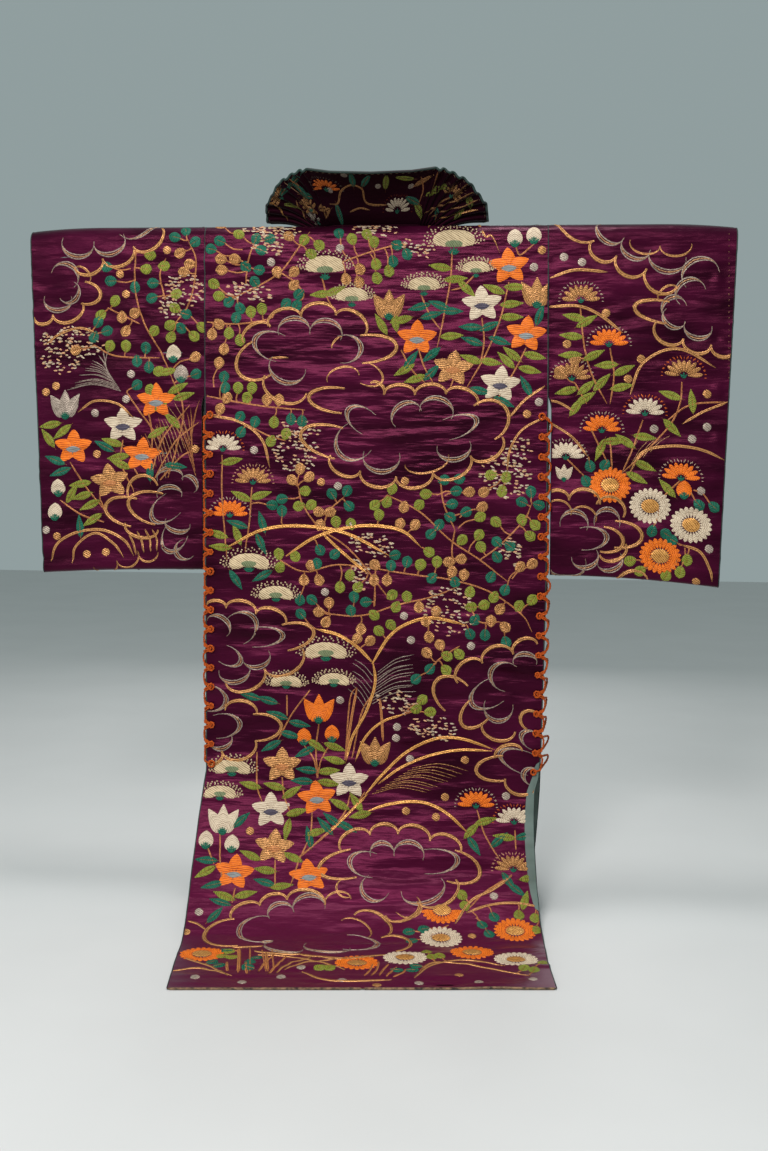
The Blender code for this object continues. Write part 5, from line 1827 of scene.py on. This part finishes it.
def embroider_collar():
    sheet = SHEETS["collar"]
    work = Needlework(90)
    paths = [smooth_path(sheet.spots(points), 0.004) for _, _, points in COLLAR_BLADES]
    for path, (colour, width, _) in zip(paths, COLLAR_BLADES):
        work.ribbon(path, width, colour, PETAL_RISE, (0.4, 0.2))
    for colour, places in COLLAR_LEAVES.items():
        for place in sheet.spots(places):
            long_leaf(work, place, paths, colour)
    for x, y, petals, tufts in COLLAR_FLOWERS:
        petal_fan(work, sheet.spot(x, y), petals, tufts, COLLAR_FAN_WIDTH)
    for place in sheet.spots(COLLAR_DEW):
        dewdrop(work, place, "silver")
    for across in np.arange(sheet.across.min(), sheet.across.max(), TOP_ROW_PITCH):
        place = (across, TOP_ROW_DOWN)
        work.stitch(place, work.chance.uniform(-0.3, 0.3), *TOP_ROW_STITCH, "cream", TOP_ROW_RISE)
    # The collar's embroidery takes the darkened silks: painted shade
    work.colours = ["collar_" + colour for colour in work.colours]
    piece = lay("embroidery_collar", work, sheet)


for side, word in ((-1, "left"), (1, "right")):
    body_cloth(side, word)
    sleeve_cloth(side, word)
    front_band(side, word)
    cord = lacing("cord_" + word, side, SHEETS["back"], SHEETS["front_" + word], 30 + side)
    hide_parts("lacing_" + word)
standing_collar()
rolled_lining()

back_work = embroider("back", 50)
left_work = embroider("sleeve_left", 60)
right_work = embroider("sleeve_right", 70)
lay_all(back_work, "back")
lay_all(back_work, "front_left", mirror=True)
lay_all(back_work, "front_right", mirror=True)
lay_all(left_work, "sleeve_left")
lay_all(left_work, "sleeve_right_front", mirror=True)
lay_all(right_work, "sleeve_right")
lay_all(right_work, "sleeve_left_front", mirror=True)
embroider_collar()


# The stand, the floor, the light and the camera

def painted_wood():
    finish, nodes, links, shader = principled("painted_wood", (0.50, 0.50, 0.49), 0.45)
    place = object_place(nodes)
    grain = noise(nodes, links, stretched(nodes, links, place, (6.0, 60.0, 60.0)), 1.0, 5.0)
    colour = blend_colours(nodes, links, grain, (0.42, 0.42, 0.41), (0.55, 0.55, 0.54))
    links.new(colour, shader.inputs["Base Color"])
    links.new(ranged(nodes, links, grain, 0.38, 0.55), shader.inputs["Roughness"])
    links.new(bump(nodes, links, grain, 0.0004), shader.inputs["Normal"])
    return finish


def floor_finish():
    dark = (0.62, 0.61, 0.60)
    finish, nodes, links, shader = principled("floor", dark, 0.6)
    slow = noise(nodes, links, object_place(nodes), 3.0, 3.0)
    links.new(blend_colours(nodes, links, slow, dark, (0.64, 0.63, 0.62)), shader.inputs["Base Color"])
    return finish


wood = painted_wood()
for name in ("stand_crossbar", "stand_post", "stand_base"):
    for slot in bpy.data.objects[name].material_slots:
        slot.material = wood

FLOOR_REACH = 8.0
floor_mesh = bpy.data.meshes.new("floor")
corners = [(x * FLOOR_REACH, y * FLOOR_REACH, 0.0) for x, y in ((-1, -1), (1, -1), (1, 1), (-1, 1))]
floor_mesh.from_pydata(corners, [], [(0, 1, 2, 3)])
floor_mesh.materials.append(floor_finish())
floor = bpy.data.objects.new("floor", floor_mesh)
bpy.context.scene.collection.objects.link(floor)


def area_light(name, place, target, size, power):
    light = bpy.data.lights.new(name, "AREA")
    light.shape = "DISK"
    light.size = size
    light.energy = power
    lamp = bpy.data.objects.new(name, light)
    lamp.location = place
    lamp.rotation_mode = "QUATERNION"
    lamp.rotation_quaternion = (Vector(target) - Vector(place)).to_track_quat("-Z", "Y")
    bpy.context.scene.collection.objects.link(lamp)


# Name, place, target, diameter in metres, power in watts
LIGHTS = (
    ("key", (-0.3, -3.1, 2.4), (0.0, 0.0, 0.8), 0.9, 92.0),
    ("fill", (-2.6, -2.2, 1.2), (0.0, 0.0, 0.7), 1.6, 12.0),
    ("top", (0.0, -0.3, 3.5), (0.0, -0.2, 0.3), 0.8, 42.0),
    ("back", (0.0, 2.8, 1.6), (0.0, 0.0, 0.8), 1.6, 15.0),
)
for light in LIGHTS:
    area_light(*light)

WALL_COLOUR = (0.74, 0.90, 0.91, 1.0)
WALL_STRENGTH = 0.38
world = bpy.data.worlds.new("studio")
world.use_nodes = True
background = world.node_tree.nodes["Background"]
background.inputs["Color"].default_value = WALL_COLOUR
background.inputs["Strength"].default_value = WALL_STRENGTH
bpy.context.scene.world = world
bpy.context.scene.view_settings.view_transform = "Standard"

lens = bpy.data.cameras.new("camera")
lens.sensor_width = SENSOR_MM
lens.lens = FOCAL_PIXELS / PHOTO_HEIGHT * SENSOR_MM
camera = bpy.data.objects.new("camera", lens)
axis_right, axis_up, axis_forward = camera_axes()
facing = Matrix((axis_right, axis_up, -axis_forward)).transposed()
camera.matrix_world = Matrix.LocRotScale(Vector(CAMERA_PLACE), facing.to_quaternion(), None)
bpy.context.scene.collection.objects.link(camera)
bpy.context.scene.camera = camera

bpy.context.view_layer.update()
